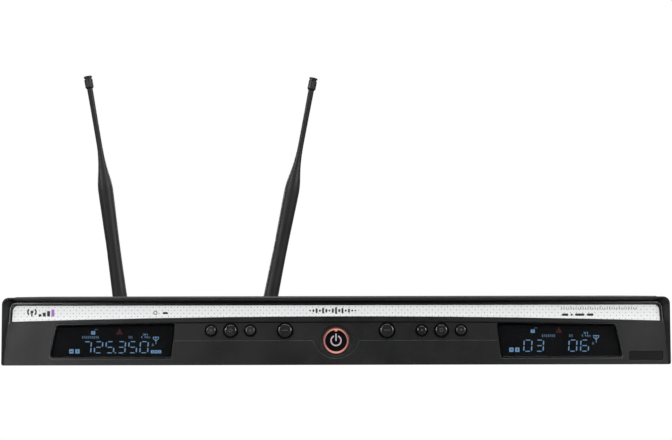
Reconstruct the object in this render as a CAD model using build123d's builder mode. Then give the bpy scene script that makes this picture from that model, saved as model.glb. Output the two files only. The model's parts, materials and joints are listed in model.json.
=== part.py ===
from build123d import *
import os
from math import atan, cos, degrees, hypot, radians, sin, sqrt, tan

# Two-channel wireless receiver, one rack unit high, with two hinged whip antennas behind it.
# X runs to the right seen from the front, Y to the rear, Z up, in millimetres.
# The origin lies on the table, in the middle of the whole object's width and depth.

# ---------------------------------------------------------------- driving dimensions
BEZEL_WIDTH = 430.0
BEZEL_BOTTOM, BEZEL_TOP = 0.3, 43.9
BEZEL_DEPTH = 16.0
CASE_WIDTH = 418.0
CASE_BOTTOM, CASE_TOP = 1.5, 44.2
REAR_DEPTH = 200.0  # from the bezel's front edge to the rear panel's outer face
SHEET = 1.0  # steel sheet
ANTENNA_REACH = 26.0  # from the rear panel to the antenna's hinge axis
KNUCKLE_RADIUS = 5.6

TOTAL_DEPTH = REAR_DEPTH + ANTENNA_REACH + KNUCKLE_RADIUS
FRONT = -TOTAL_DEPTH / 2
CASE_FRONT = FRONT + BEZEL_DEPTH
REAR = FRONT + REAR_DEPTH

FACE_TILT = 5.4  # the front face leans back by this angle
FACE_FOOT = 0.8  # the face's depth behind the bezel's front edge at table height
WALL = 3.4  # moulded wall behind the face

BOARD = 1.6  # circuit board thickness
CONTROL_BOARD_DEPTH = 8.5  # behind the face

BUTTON_UP = 22.5
# name, distance from the middle, cap radius, well radius
BUTTONS = [
    ("sync", 32.8, 4.3, 5.3),
    ("up", 55.2, 3.05, 4.0),
    ("set", 67.8, 3.8, 4.85),
    ("down", 80.4, 3.05, 4.0),
]
SIDES = [("left", -1), ("right", 1)]

POWER_UP = 16.0
POWER_RADIUS = 6.95
RING_INNER, RING_OUTER = 7.1, 8.3

ANTENNA_UP = 22.5
# channel, place across the rear panel, lean of the boot, extra bend of the whip (degrees, towards +X)
ANTENNAS = [("a", -155.5, -7.63, -2.0), ("b", -52.0, 11.29, -0.5)]
WHIP_LENGTH = 185.5  # hinge axis to tip

BOARD_BOTTOM = 7.5
MAIN_BOARD = (-195.0, 200.0, CASE_FRONT + 14, REAR - 3)  # lowest and highest X, then Y

os.makedirs("parts", exist_ok=True)


# ---------------------------------------------------------------- helpers
def front_plane(depth=0.0):
    """Upright plane this far behind the bezel's front edge, facing forward."""
    return Plane.XZ.offset(-(FRONT + depth))


def rear_plane(behind=0.0):
    """Upright plane this far behind the rear panel, facing back. Its local X is the object's -X."""
    return Plane(origin=(0, REAR + behind, 0), x_dir=(-1, 0, 0), z_dir=(0, 1, 0))


FACE = Plane(
    origin=(0, FRONT + FACE_FOOT, 0),
    x_dir=(1, 0, 0),
    z_dir=(0, -cos(radians(FACE_TILT)), sin(radians(FACE_TILT))),
)


FORWARD = Axis(FACE.origin, FACE.z_dir)  # straight out of the sloping face


def face_plane(depth=0.0):
    """Plane parallel to the sloping face, this far behind it."""
    return FACE.offset(-depth)


def face_y(height, depth=0.0):
    """Y of the sloping face at a height, or of the plane this far behind it."""
    return FRONT + FACE_FOOT + height * tan(radians(FACE_TILT)) + depth / cos(radians(FACE_TILT))


def behind_face(height, depth):
    """Y and Z of the point this far behind the face, straight behind a height on it."""
    lean = radians(FACE_TILT)
    return FACE.origin.Y + height * tan(lean) + depth * cos(lean), height - depth * sin(lean)


def up_face(height):
    """Distance up the sloping face for a height above the table."""
    return height / cos(radians(FACE_TILT))


def finish(name, built):
    """Labels a finished piece and writes it."""
    built.part.label = name
    export_step(built.part, f"parts/{name}.step")


def mirrored(points, side):
    """The points as they are on the right side, or mirrored to the left."""
    return [(side * x, y) for x, y in points]


# ---------------------------------------------------------------- front bezel
# The hood is a frame whose inner slope runs back to the leaning face.
HOOD_RIM_SIDE, HOOD_RIM_TOP = 0.8, 1.1
HOOD_SLOPE_SIDE, HOOD_SLOPE_TOP = 0.8, 0.42  # inset gained per millimetre of depth
HOOD_RADIUS = 3.8
BEZEL_DRAFT = 0.5
GROOVE_WIDTH, GROOVE_DEPTH = 1.0, 1.6
GROOVE_END = 27.0  # height where the side grooves stop


def hood_half_width(height, depth):
    """Half width of the hood's opening at a height and a depth behind the front edge."""
    draft = BEZEL_DRAFT * (height - BEZEL_BOTTOM) / (BEZEL_TOP - BEZEL_BOTTOM)
    return BEZEL_WIDTH / 2 - draft - HOOD_RIM_SIDE - HOOD_SLOPE_SIDE * depth


def hood_top(depth):
    """Height of the hood's opening at a depth behind the front edge."""
    return BEZEL_TOP - HOOD_RIM_TOP - HOOD_SLOPE_TOP * depth


def hood_outline(depth):
    """The hood's opening at one depth, open downwards past the bezel's lower edge."""
    low, high = BEZEL_BOTTOM - 8, hood_top(depth)
    half_low, half_high = hood_half_width(low, depth), hood_half_width(high, depth)
    with BuildSketch(front_plane(depth)) as outline:
        with BuildLine():
            Polyline((-half_low, low), (half_low, low), (half_high, high), (-half_high, high), close=True)
        make_face()
        fillet(outline.vertices().group_by(Axis.Y)[-1], HOOD_RADIUS)
    return outline.sketch


with BuildPart() as hood_space:
    for depth in (-1, 7):
        add(hood_outline(depth))
    loft(ruled=True)
    with BuildSketch(Plane.YZ) as ahead_of_face:
        with BuildLine():
            Polyline((FRONT - 9, -20), (face_y(-20), -20), (face_y(60), 60), (FRONT - 9, 60), close=True)
        make_face()
    extrude(amount=BEZEL_WIDTH, both=True, mode=Mode.INTERSECT)

# Where the hood's slope meets the face: its top edge and its sides as straight lines on the face.
depth_at_top = (FACE_FOOT + tan(radians(FACE_TILT)) * (BEZEL_TOP - HOOD_RIM_TOP)) / (
    1 + tan(radians(FACE_TILT)) * HOOD_SLOPE_TOP
)
PANEL_TOP = hood_top(depth_at_top)


def panel_half_width(height):
    """Half width of the face inside the hood at a height."""
    return hood_half_width(height, FACE_FOOT + height * tan(radians(FACE_TILT)))


def panel_outline(inset, low):
    """Outline of the face inside the hood, from a height up, shrunk by an inset."""
    high = PANEL_TOP - inset
    half_low, half_high = panel_half_width(low) - inset, panel_half_width(high) - inset
    with BuildSketch() as outline:
        with BuildLine():
            Polyline(
                (-half_low, up_face(low)),
                (half_low, up_face(low)),
                (half_high, up_face(high)),
                (-half_high, up_face(high)),
                close=True,
            )
        make_face()
        fillet(outline.vertices().group_by(Axis.Y)[-1], HOOD_RADIUS - inset)
    return outline.sketch


# Bright trim strip: straight top, shallow arch below.
STRIP_TOP = 38.6
STRIP_END_BOTTOM, STRIP_MIDDLE_BOTTOM = 28.3, 31.4
STRIP_HALF_BOTTOM, STRIP_HALF_TOP = 208.5, 207.8
STRIP_THICKNESS, STRIP_POCKET = 1.2, 1.05
STRIP_END_GAP, STRIP_TOP_GAP, STRIP_EDGE_GAP = 0.8, 0.35, 0.1
STRIP_MOAT = 2.2  # depth of the shadow gap round the strip
STRIP_SEAT = 0.4  # how far the strip's seat stops short of its edge
IR_X, IR_UP = -109.8, 33.9
IR_LENGTH, IR_HEIGHT = 3.4, 1.3


def strip_outline(end_gap=0.0, top_gap=0.0, edge_gap=0.0):
    """Outline of the trim strip on the face, grown at its ends, its top and its lower edge."""
    half_bottom, half_top = STRIP_HALF_BOTTOM + end_gap, STRIP_HALF_TOP + end_gap
    top, end = up_face(STRIP_TOP) + top_gap, up_face(STRIP_END_BOTTOM) - edge_gap
    sag = up_face(STRIP_MIDDLE_BOTTOM) - edge_gap
    with BuildSketch() as outline:
        with BuildLine():
            Polyline((-half_bottom, end), (-half_top, top), (half_top, top), (half_bottom, end))
            ThreePointArc((half_bottom, end), (0, sag), (-half_bottom, end))
        make_face()
        fillet(outline.vertices().group_by(Axis.Y)[-1], 3.4)
        fillet(outline.vertices().group_by(Axis.Y)[0], 0.6)
    return outline.sketch


# Sunken band that holds both displays and the buttons, with an arch below the power button.
BAND_DEPTH, BAND_EASE = 0.7, 0.3
SHADOW_WIDTH, SHADOW_DEPTH = 0.6, 0.9  # groove along the band's top edge
BAND_TOP_ENDS, BAND_TOP_MIDDLE = 26.9, 28.1
BAND_STEP = 16.1  # height of the band's lower edge between the displays
ARCH_RADIUS, ARCH_MIDDLE = 15.0, 19.5

# Display pockets: four corners on the face and four at their floor, right side.
POCKET_DEPTH = 2.2
MOUTH_RADIUS, FLOOR_RADIUS = 2.3, 1.7
POCKET_MOUTH = [(103.0, 27.6), (180.4, 26.8), (185.0, 4.4), (105.9, 4.4)]
POCKET_FLOOR = [(103.9, 26.3), (179.1, 25.2), (183.1, 6.1), (106.4, 6.1)]


def band_outline():
    """Outline of the sunken band on the face."""
    step, low = up_face(BAND_STEP), up_face(POCKET_MOUTH[2][1])
    top_end = (POCKET_MOUTH[1][0], up_face(BAND_TOP_ENDS))
    half_arch = sqrt(ARCH_RADIUS**2 - (ARCH_MIDDLE - BAND_STEP) ** 2)
    inner_x = POCKET_MOUTH[0][0] + 0.1
    lower_inner = (POCKET_MOUTH[3][0], low)
    lower_outer = (POCKET_MOUTH[2][0], low)
    share = (POCKET_MOUTH[0][1] - BAND_STEP) / (POCKET_MOUTH[0][1] - POCKET_MOUTH[3][1])
    slant = (lower_inner[0] - inner_x) * share
    step_end = (inner_x + slant, step)
    with BuildSketch() as outline:
        with BuildLine():
            right = [(half_arch, step), step_end, lower_inner, lower_outer, top_end]
            left = mirrored(right, -1)
            ThreePointArc(top_end, (0, up_face(BAND_TOP_MIDDLE)), left[-1])
            Polyline(*right)
            Polyline(*left)
            ThreePointArc(left[0], (0, up_face(ARCH_MIDDLE) - ARCH_RADIUS), right[0])
        make_face()
        fillet(outline.vertices().filter_by(lambda v: abs(v.Y - step) < 0.1), 0.8)
        fillet(outline.vertices().filter_by(lambda v: abs(v.Y - low) < 0.1), 1.5)
        fillet(outline.vertices().filter_by(lambda v: abs(abs(v.X) - top_end[0]) < 0.1 and v.Y > step), 1.5)
    return outline.sketch


def quad(points, side, grow=0.0, radius=1.0):
    """Four-cornered outline on the face, given by heights, optionally grown, with round corners."""
    with BuildSketch() as outline:
        with BuildLine():
            Polyline(*[(side * x, up_face(h)) for x, h in points], close=True)
        make_face()
        if grow:
            offset(amount=grow, kind=Kind.INTERSECTION)
        fillet(outline.vertices(), radius)
    return outline.sketch


# Blank name plate in the lower right corner.
PLATE = (199.2, 6.0)
PLATE_SIZE = (21.6, 5.4)
PLATE_THICKNESS, PLATE_POCKET = 0.5, 0.75

BUTTON_GAP = 0.15
BUTTON_WELL_DEPTH = 1.3  # below the band's floor
WELL_EASE = 0.2
DISH_RADIUS, DISH_DEPTH = 10.1, 0.35
RING_HOLE = RING_OUTER + 0.1
BOSS_RADIUS, BOSS_PILOT = 3.2, 1.25
BEZEL_BOSS_LENGTH = 11.5
BEZEL_BOSSES = [(x, h) for x in (-200.0, 200.0) for h in (10.0, 36.0)]
BOARD_BOSSES = [(x, h) for x in (-95.0, 95.0) for h in (10.0, 34.0)] + [(-188.0, 33.0), (188.0, 33.0)]

with BuildPart() as front_bezel:
    with BuildSketch(front_plane()) as outer:
        with BuildLine():
            half, half_top = BEZEL_WIDTH / 2, BEZEL_WIDTH / 2 - BEZEL_DRAFT
            Polyline(
                (-half, BEZEL_BOTTOM),
                (half, BEZEL_BOTTOM),
                (half_top, BEZEL_TOP),
                (-half_top, BEZEL_TOP),
                close=True,
            )
        make_face()
        fillet(outer.vertices().group_by(Axis.Y)[-1], 4.5)
        fillet(outer.vertices().group_by(Axis.Y)[0], 1.4)
    extrude(amount=-BEZEL_DEPTH)
    chamfer(front_bezel.faces().sort_by(Axis.Y)[0].edges(), 0.35)
    add(hood_space.part, mode=Mode.SUBTRACT)
    # Hollow behind the face.
    low, high = BEZEL_BOTTOM + 2.2, BEZEL_TOP - 2.2
    front_low, front_high = face_y(low, WALL), face_y(high, WALL)
    for back, half in ((CASE_FRONT - 2.5, BEZEL_WIDTH / 2 - 4.2), (CASE_FRONT + 1, CASE_WIDTH / 2 - 2.5)):
        with BuildSketch(Plane.YZ):
            with BuildLine():
                Polyline((front_low, low), (back, low), (back, high), (front_high, high), close=True)
            make_face()
        extrude(amount=half, both=True, mode=Mode.SUBTRACT)
    # Bosses for the screws from the case's front wall, and for the control board.
    with BuildSketch(front_plane(BEZEL_DEPTH)):
        with Locations(*BEZEL_BOSSES):
            Circle(BOSS_RADIUS)
    extrude(amount=BEZEL_BOSS_LENGTH)
    with BuildSketch(face_plane(CONTROL_BOARD_DEPTH - 0.05)):
        with Locations(*[(x, up_face(h)) for x, h in BOARD_BOSSES]):
            Circle(BOSS_RADIUS)
    extrude(amount=CONTROL_BOARD_DEPTH - WALL + 0.6)
    with BuildSketch(front_plane(BEZEL_DEPTH)):
        with Locations(*BEZEL_BOSSES):
            Circle(BOSS_PILOT)
    extrude(amount=7.5, mode=Mode.SUBTRACT)
    with BuildSketch(face_plane(CONTROL_BOARD_DEPTH)):
        with Locations(*[(x, up_face(h)) for x, h in BOARD_BOSSES]):
            Circle(BOSS_PILOT)
    extrude(amount=5.5, mode=Mode.SUBTRACT)
    # Fine groove round the top of the face.
    with BuildSketch(face_plane()):
        add(panel_outline(0, GROOVE_END))
        add(panel_outline(GROOVE_WIDTH, GROOVE_END - 1), mode=Mode.SUBTRACT)
    extrude(amount=-GROOVE_DEPTH, mode=Mode.SUBTRACT)
    # Bed of the trim strip and the window behind it.
    with BuildSketch(face_plane()):
        add(strip_outline(STRIP_END_GAP, STRIP_TOP_GAP, STRIP_EDGE_GAP))
    extrude(amount=-STRIP_POCKET, mode=Mode.SUBTRACT)
    with BuildSketch(face_plane()):
        add(strip_outline(STRIP_END_GAP, STRIP_TOP_GAP, STRIP_EDGE_GAP))
        add(strip_outline(-STRIP_SEAT, -STRIP_SEAT, STRIP_EDGE_GAP + 0.5), mode=Mode.SUBTRACT)
    extrude(amount=-STRIP_MOAT, mode=Mode.SUBTRACT)
    with BuildSketch(face_plane()):
        with Locations((IR_X, IR_UP)):
            SlotOverall(IR_LENGTH - 0.8, IR_HEIGHT - 0.5)
    extrude(amount=-WALL - 1, mode=Mode.SUBTRACT)
    # Sunken band.
    with BuildSketch(face_plane()):
        add(band_outline())
    extrude(amount=-BAND_DEPTH, mode=Mode.SUBTRACT)
    with BuildSketch(face_plane()):
        add(band_outline())
        offset(amount=BAND_EASE, kind=Kind.INTERSECTION)
    extrude(amount=-BAND_EASE, taper=45, mode=Mode.SUBTRACT)
    # Blank name plate's bed.
    with BuildSketch(face_plane()):
        with Locations(PLATE):
            RectangleRounded(PLATE_SIZE[0] + 0.2, PLATE_SIZE[1] + 0.2, 1.0)
    extrude(amount=-PLATE_POCKET, mode=Mode.SUBTRACT)

for side in (-1, 1):
    # Display pocket with sloping walls, and the way through to the window behind it.
    with BuildPart() as pocket_space:
        with BuildSketch(face_plane()):
            add(quad(POCKET_MOUTH, side, radius=MOUTH_RADIUS))
        with BuildSketch(face_plane(POCKET_DEPTH)):
            add(quad(POCKET_FLOOR, side, radius=FLOOR_RADIUS))
        loft(ruled=True)
        with BuildSketch(face_plane(POCKET_DEPTH - 0.1)):
            add(quad(POCKET_FLOOR, side, radius=FLOOR_RADIUS))
        extrude(amount=-WALL)
    with front_bezel:
        add(pocket_space.part, mode=Mode.SUBTRACT)
        # Way through for each button, then the well round it and the well's eased mouth.
        for label, x, cap, well in BUTTONS:
            with BuildSketch(face_plane(-1)):
                with Locations((side * x, BUTTON_UP)):
                    Circle(cap + BUTTON_GAP)
            extrude(amount=-WALL - 2, mode=Mode.SUBTRACT)
            with BuildSketch(face_plane(BAND_DEPTH - 0.2)):
                with Locations((side * x, BUTTON_UP)):
                    Circle(well)
            extrude(amount=-BUTTON_WELL_DEPTH - 0.2, mode=Mode.SUBTRACT)
            with BuildSketch(face_plane(BAND_DEPTH)):
                with Locations((side * x, BUTTON_UP)):
                    Circle(well + WELL_EASE)
            extrude(amount=-WELL_EASE, taper=45, mode=Mode.SUBTRACT)

with front_bezel:
    # Shadow groove along the band's top edge.
    with BuildSketch(face_plane()):
        add(band_outline())
        with Locations((0, -SHADOW_WIDTH)):
            add(band_outline(), mode=Mode.SUBTRACT)
        with Locations((0, up_face(BAND_TOP_MIDDLE))):
            Rectangle(2 * POCKET_MOUTH[0][0] + 1, 4.0, mode=Mode.INTERSECT)
    extrude(amount=-BAND_DEPTH - SHADOW_DEPTH, mode=Mode.SUBTRACT)
    # Shallow dish and way through for the power button.
    with BuildSketch(face_plane(BAND_DEPTH)):
        with Locations((0, POWER_UP)):
            Circle(DISH_RADIUS)
    extrude(amount=-DISH_DEPTH, taper=45, mode=Mode.SUBTRACT)
    with BuildSketch(face_plane()):
        with Locations((0, POWER_UP)):
            Circle(RING_HOLE)
    extrude(amount=-WALL - 1, mode=Mode.SUBTRACT)
finish("front_bezel", front_bezel)

with BuildPart() as trim_strip:
    with BuildSketch(face_plane(STRIP_POCKET)):
        add(strip_outline())
    extrude(amount=STRIP_THICKNESS)
    fillet(trim_strip.faces().sort_by(FORWARD)[-1].edges(), 0.25)
    with BuildSketch(face_plane(STRIP_POCKET)):
        with Locations((IR_X, IR_UP)):
            SlotOverall(IR_LENGTH, IR_HEIGHT)
    extrude(amount=STRIP_THICKNESS, mode=Mode.SUBTRACT)
finish("trim_strip", trim_strip)

with BuildPart() as ir_window:
    with BuildSketch(face_plane(STRIP_POCKET)):
        with Locations((IR_X, IR_UP)):
            SlotOverall(IR_LENGTH - 0.1, IR_HEIGHT - 0.1)
    extrude(amount=STRIP_THICKNESS - 0.1)
    with BuildSketch(face_plane(STRIP_POCKET)):
        with Locations((IR_X, IR_UP)):
            SlotOverall(IR_LENGTH - 1.0, IR_HEIGHT - 0.7)
    extrude(amount=-3.5)
finish("ir_window", ir_window)

with BuildPart() as name_plate:
    with BuildSketch(face_plane(PLATE_POCKET)):
        with Locations(PLATE):
            RectangleRounded(*PLATE_SIZE, 0.9)
    extrude(amount=PLATE_THICKNESS)
    fillet(name_plate.faces().sort_by(FORWARD)[-1].edges(), 0.15)
finish("name_plate", name_plate)

# ---------------------------------------------------------------- displays
WINDOW_GAP, WINDOW_FLANGE, FLANGE_THICKNESS = 0.1, 1.2, 1.0
GLASS_DEPTH, GLASS_THICKNESS, GLASS_MARGIN = 4.5, 1.5, 0.6
FRAME_WALL = 1.1

for label, side in SIDES:
    with BuildPart() as display_window:
        with BuildSketch(face_plane(WALL)):
            add(quad(POCKET_FLOOR, side, WINDOW_FLANGE))
        extrude(amount=-FLANGE_THICKNESS)
        with BuildSketch(face_plane(WALL)):
            add(quad(POCKET_FLOOR, side, -WINDOW_GAP, FLOOR_RADIUS - WINDOW_GAP))
        extrude(amount=WALL - POCKET_DEPTH)
        chamfer(display_window.faces().sort_by(FORWARD)[-1].edges(), 0.3)
    finish(f"{label}_display_window", display_window)

    with BuildPart() as lcd_glass:
        with BuildSketch(face_plane(GLASS_DEPTH)):
            add(quad(POCKET_FLOOR, side, GLASS_MARGIN, 0.4))
        extrude(amount=-GLASS_THICKNESS)
    finish(f"{label}_lcd_glass", lcd_glass)

with BuildPart() as lcd_backlights:
    for label, side in SIDES:
        with BuildSketch(face_plane(WALL + FLANGE_THICKNESS)):
            add(quad(POCKET_FLOOR, side, GLASS_MARGIN + FRAME_WALL))
        extrude(amount=-(CONTROL_BOARD_DEPTH - WALL - FLANGE_THICKNESS))
        with BuildSketch(face_plane(WALL)):
            add(quad(POCKET_FLOOR, side, GLASS_MARGIN + 0.1, 0.4))
        extrude(amount=-(GLASS_DEPTH + GLASS_THICKNESS - WALL), mode=Mode.SUBTRACT)
finish("lcd_backlights", lcd_backlights)

# ---------------------------------------------------------------- buttons
CAP_PROUD = 0.9  # in front of the face
CAP_FLANGE_DEPTH, CAP_FLANGE_THICKNESS, CAP_FLANGE_EXTRA = 3.55, 0.8, 0.9
SWITCH_SIZE, SWITCH_DEPTH = 6.0, 5.0
STEM_RADIUS, STEM_HOLE, STEM_HOLE_LENGTH = 1.5, 1.8, 1.5
STEM_INTO_SWITCH = 0.3
CAP_ROUNDING = 0.8
POWER_PROUD_DEPTH = 0.35  # power button's front, behind the face
POWER_FLANGE_RADIUS, POWER_FLANGE_DEPTH, POWER_FLANGE_THICKNESS = 8.2, 5.2, 0.8
POWER_SWITCH_DEPTH, POWER_STEM_HOLE_LENGTH = 6.8, 1.3
RING_FRONT, RING_BACK = 0.55, 5.0
RING_FLANGE_RADIUS, RING_FLANGE_THICKNESS = 9.6, 1.0
TONGUE_WIDTH, TONGUE_REACH = 1.6, 0.9
SYMBOL_RADIUS, SYMBOL_STROKE, SYMBOL_GAP = 3.2, 0.88, 25
SYMBOL_BAR = (-0.25, 4.5)
SYMBOL_DEPTH, SYMBOL_THICKNESS = 0.35, 0.4

for label, side in SIDES:
    for use, x, cap, well in BUTTONS:
        with BuildPart() as button:
            with BuildSketch(face_plane(CAP_FLANGE_DEPTH)):
                with Locations((side * x, BUTTON_UP)):
                    Circle(cap)
            extrude(amount=CAP_FLANGE_DEPTH + CAP_PROUD)
            fillet(button.faces().sort_by(FORWARD)[-1].edges(), CAP_ROUNDING)
            with BuildSketch(face_plane(CAP_FLANGE_DEPTH)):
                with Locations((side * x, BUTTON_UP)):
                    Circle(cap + CAP_FLANGE_EXTRA)
            extrude(amount=-CAP_FLANGE_THICKNESS)
            with BuildSketch(face_plane(CAP_FLANGE_DEPTH)):
                with Locations((side * x, BUTTON_UP)):
                    Circle(STEM_RADIUS)
            extrude(amount=-(SWITCH_DEPTH + STEM_INTO_SWITCH - CAP_FLANGE_DEPTH))
        finish(f"{label}_{use}_button", button)


def symbol_outline(grow=0.0):
    """Power symbol: an open circle with an upright bar, centred on the power button."""
    outer, inner = SYMBOL_RADIUS + SYMBOL_STROKE / 2 + grow, SYMBOL_RADIUS - SYMBOL_STROKE / 2 - grow
    low, high = SYMBOL_BAR[0] - grow, SYMBOL_BAR[1] + grow
    gap = SYMBOL_GAP - degrees(grow / SYMBOL_RADIUS)
    reach = 8.0
    with BuildSketch() as outline:
        with Locations((0, POWER_UP)):
            Circle(outer)
            Circle(inner, mode=Mode.SUBTRACT)
        with BuildLine():
            across, rise = reach * sin(radians(gap)), reach * cos(radians(gap))
            Polyline((0, POWER_UP), (across, POWER_UP + rise), (-across, POWER_UP + rise), close=True)
        make_face(mode=Mode.SUBTRACT)
        with Locations((0, POWER_UP + (low + high) / 2)):
            Rectangle(SYMBOL_STROKE + 2 * grow, high - low)
    return outline.sketch


with BuildPart() as power_button:
    with BuildSketch(face_plane(POWER_FLANGE_DEPTH)):
        with Locations((0, POWER_UP)):
            Circle(POWER_RADIUS)
        with Locations((0, POWER_UP + RING_INNER)):
            Rectangle(TONGUE_WIDTH + 0.4, 2 * (TONGUE_REACH + 0.2), mode=Mode.SUBTRACT)
    extrude(amount=POWER_FLANGE_DEPTH - POWER_PROUD_DEPTH)
    chamfer(power_button.faces().sort_by(FORWARD)[-1].edges(), 0.3)
    with BuildSketch(face_plane(POWER_FLANGE_DEPTH)):
        with Locations((0, POWER_UP)):
            Circle(POWER_FLANGE_RADIUS)
    extrude(amount=-POWER_FLANGE_THICKNESS)
    with BuildSketch(face_plane(POWER_FLANGE_DEPTH)):
        with Locations((0, POWER_UP)):
            Circle(STEM_RADIUS)
    extrude(amount=-(POWER_SWITCH_DEPTH + STEM_INTO_SWITCH - POWER_FLANGE_DEPTH))
    with BuildSketch(face_plane(POWER_PROUD_DEPTH - 1)):
        add(symbol_outline(0.02))
    extrude(amount=-SYMBOL_DEPTH - 1, mode=Mode.SUBTRACT)
finish("power_button", power_button)

with BuildPart() as power_symbol:
    with BuildSketch(face_plane(POWER_PROUD_DEPTH + SYMBOL_DEPTH)):
        add(symbol_outline())
    extrude(amount=SYMBOL_THICKNESS)
finish("power_symbol", power_symbol)

with BuildPart() as power_ring:
    with BuildSketch(face_plane(RING_BACK)):
        with Locations((0, POWER_UP)):
            Circle(RING_OUTER)
            Circle(RING_INNER, mode=Mode.SUBTRACT)
    extrude(amount=RING_BACK - RING_FRONT)
    fillet(power_ring.faces().sort_by(FORWARD)[-1].edges(), 0.3)
    with BuildSketch(face_plane(WALL + RING_FLANGE_THICKNESS)):
        with Locations((0, POWER_UP)):
            Circle(RING_FLANGE_RADIUS)
            Circle(RING_INNER, mode=Mode.SUBTRACT)
    extrude(amount=RING_FLANGE_THICKNESS)
    with BuildSketch(face_plane(RING_FRONT + 0.3)):
        with Locations((0, POWER_UP + RING_INNER - TONGUE_REACH / 2 + 0.2)):
            Rectangle(TONGUE_WIDTH, TONGUE_REACH + 0.4)
    extrude(amount=-(RING_BACK - RING_FRONT - 0.3))
finish("power_ring", power_ring)

with BuildPart() as tact_switches:
    for side in (-1, 1):
        for use, x, cap, well in BUTTONS:
            with BuildSketch(face_plane(SWITCH_DEPTH)):
                with Locations((side * x, BUTTON_UP)):
                    RectangleRounded(SWITCH_SIZE, SWITCH_SIZE, 0.5)
            extrude(amount=-(CONTROL_BOARD_DEPTH - SWITCH_DEPTH))
            with BuildSketch(face_plane(SWITCH_DEPTH)):
                with Locations((side * x, BUTTON_UP)):
                    Circle(STEM_HOLE)
            extrude(amount=-STEM_HOLE_LENGTH, mode=Mode.SUBTRACT)
    with BuildSketch(face_plane(POWER_SWITCH_DEPTH)):
        with Locations((0, POWER_UP)):
            RectangleRounded(SWITCH_SIZE, SWITCH_SIZE, 0.5)
    extrude(amount=-(CONTROL_BOARD_DEPTH - POWER_SWITCH_DEPTH))
    with BuildSketch(face_plane(POWER_SWITCH_DEPTH)):
        with Locations((0, POWER_UP)):
            Circle(STEM_HOLE)
    extrude(amount=-POWER_STEM_HOLE_LENGTH, mode=Mode.SUBTRACT)
finish("tact_switches", tact_switches)

CONTROL_BOARD_HALF, CONTROL_BOARD_LOW, CONTROL_BOARD_HIGH = 195.0, 3.8, 40.0
SCREW_HOLE = 1.35
with BuildPart() as control_board:
    with BuildSketch(face_plane(CONTROL_BOARD_DEPTH)):
        with Locations((0, up_face(CONTROL_BOARD_LOW + CONTROL_BOARD_HIGH) / 2)):
            RectangleRounded(2 * CONTROL_BOARD_HALF, up_face(CONTROL_BOARD_HIGH - CONTROL_BOARD_LOW), 1.5)
        with Locations(*[(x, up_face(h)) for x, h in BOARD_BOSSES]):
            Circle(SCREW_HOLE, mode=Mode.SUBTRACT)
    extrude(amount=-BOARD)
finish("control_board", control_board)

# ---------------------------------------------------------------- main board and what stands on it
BOARD_TOP = BOARD_BOTTOM + BOARD
STANDOFFS = [(x, CASE_FRONT + 22) for x in (-188, -60, 70, 193)] + [(x, REAR - 36) for x in (-188, -105, 20, 193)]
CASE_FLOOR = CASE_BOTTOM + SHEET
XLR_OUTPUTS = [("a", 60.0), ("b", 105.0)]
CONNECTOR_UP = 22.5
XLR_PINS = [(-4.0, 0.0), (4.0, 0.0), (0.0, -4.4)]
XLR_TAIL_BEHIND = -20.0  # upright tails, from the rear panel
TAIL_RADIUS, TAIL_HOLE = 0.5, 0.7

with BuildPart() as main_board:
    left, right, near, far = MAIN_BOARD[0], MAIN_BOARD[1], MAIN_BOARD[2], MAIN_BOARD[3]
    with BuildSketch(Plane.XY.offset(BOARD_BOTTOM)):
        with Locations(((left + right) / 2, (near + far) / 2)):
            RectangleRounded(right - left, far - near, 2.0)
        with Locations(*STANDOFFS):
            Circle(SCREW_HOLE, mode=Mode.SUBTRACT)
        for label, x in XLR_OUTPUTS:
            with Locations(*[(x + dx, REAR + XLR_TAIL_BEHIND - abs(dx) / 2) for dx, dz in XLR_PINS]):
                Circle(TAIL_HOLE, mode=Mode.SUBTRACT)
    extrude(amount=BOARD)
finish("main_board", main_board)

with BuildPart() as board_standoffs:
    with BuildSketch(Plane.XY.offset(CASE_FLOOR)):
        with Locations(*STANDOFFS):
            RegularPolygon(2.9, 6)
    extrude(amount=BOARD_BOTTOM - CASE_FLOOR)
    with BuildSketch(Plane.XY.offset(CASE_FLOOR + 1)):
        with Locations(*STANDOFFS):
            Circle(1.25)
    extrude(amount=BOARD_BOTTOM - CASE_FLOOR - 1, mode=Mode.SUBTRACT)
finish("board_standoffs", board_standoffs)

SCREW_RADIUS, HEAD_RADIUS, HEAD_HEIGHT = 1.2, 2.3, 1.5


def screws(plane, places, shank, radius=SCREW_RADIUS, head=HEAD_RADIUS):
    """Pan head screws standing on a plane, their shanks going into it, with a cross recess."""
    with BuildPart() as made:
        with BuildSketch(plane):
            with Locations(*places):
                Circle(head)
        extrude(amount=HEAD_HEIGHT)
        heads = made.faces().filter_by(GeomType.PLANE).sort_by(Axis(plane.origin, plane.z_dir))
        fillet(heads[-len(places):].edges(), 0.4)
        with BuildSketch(plane):
            with Locations(*places):
                Circle(radius)
        extrude(amount=-shank)
        with BuildSketch(plane.offset(HEAD_HEIGHT)):
            with Locations(*places):
                Rectangle(head * 1.2, 0.6)
                Rectangle(0.6, head * 1.2)
        extrude(amount=-0.8, mode=Mode.SUBTRACT)
    return made.part


with BuildPart() as board_screws:
    add(screws(Plane.XY.offset(BOARD_TOP), STANDOFFS, 5.0))
    back_of_board = Plane(
        origin=face_plane(CONTROL_BOARD_DEPTH + BOARD).origin, x_dir=(-1, 0, 0), z_dir=-face_plane().z_dir
    )
    add(screws(back_of_board, [(-x, up_face(h)) for x, h in BOARD_BOSSES], 6.2))
finish("board_screws", board_screws)

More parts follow.
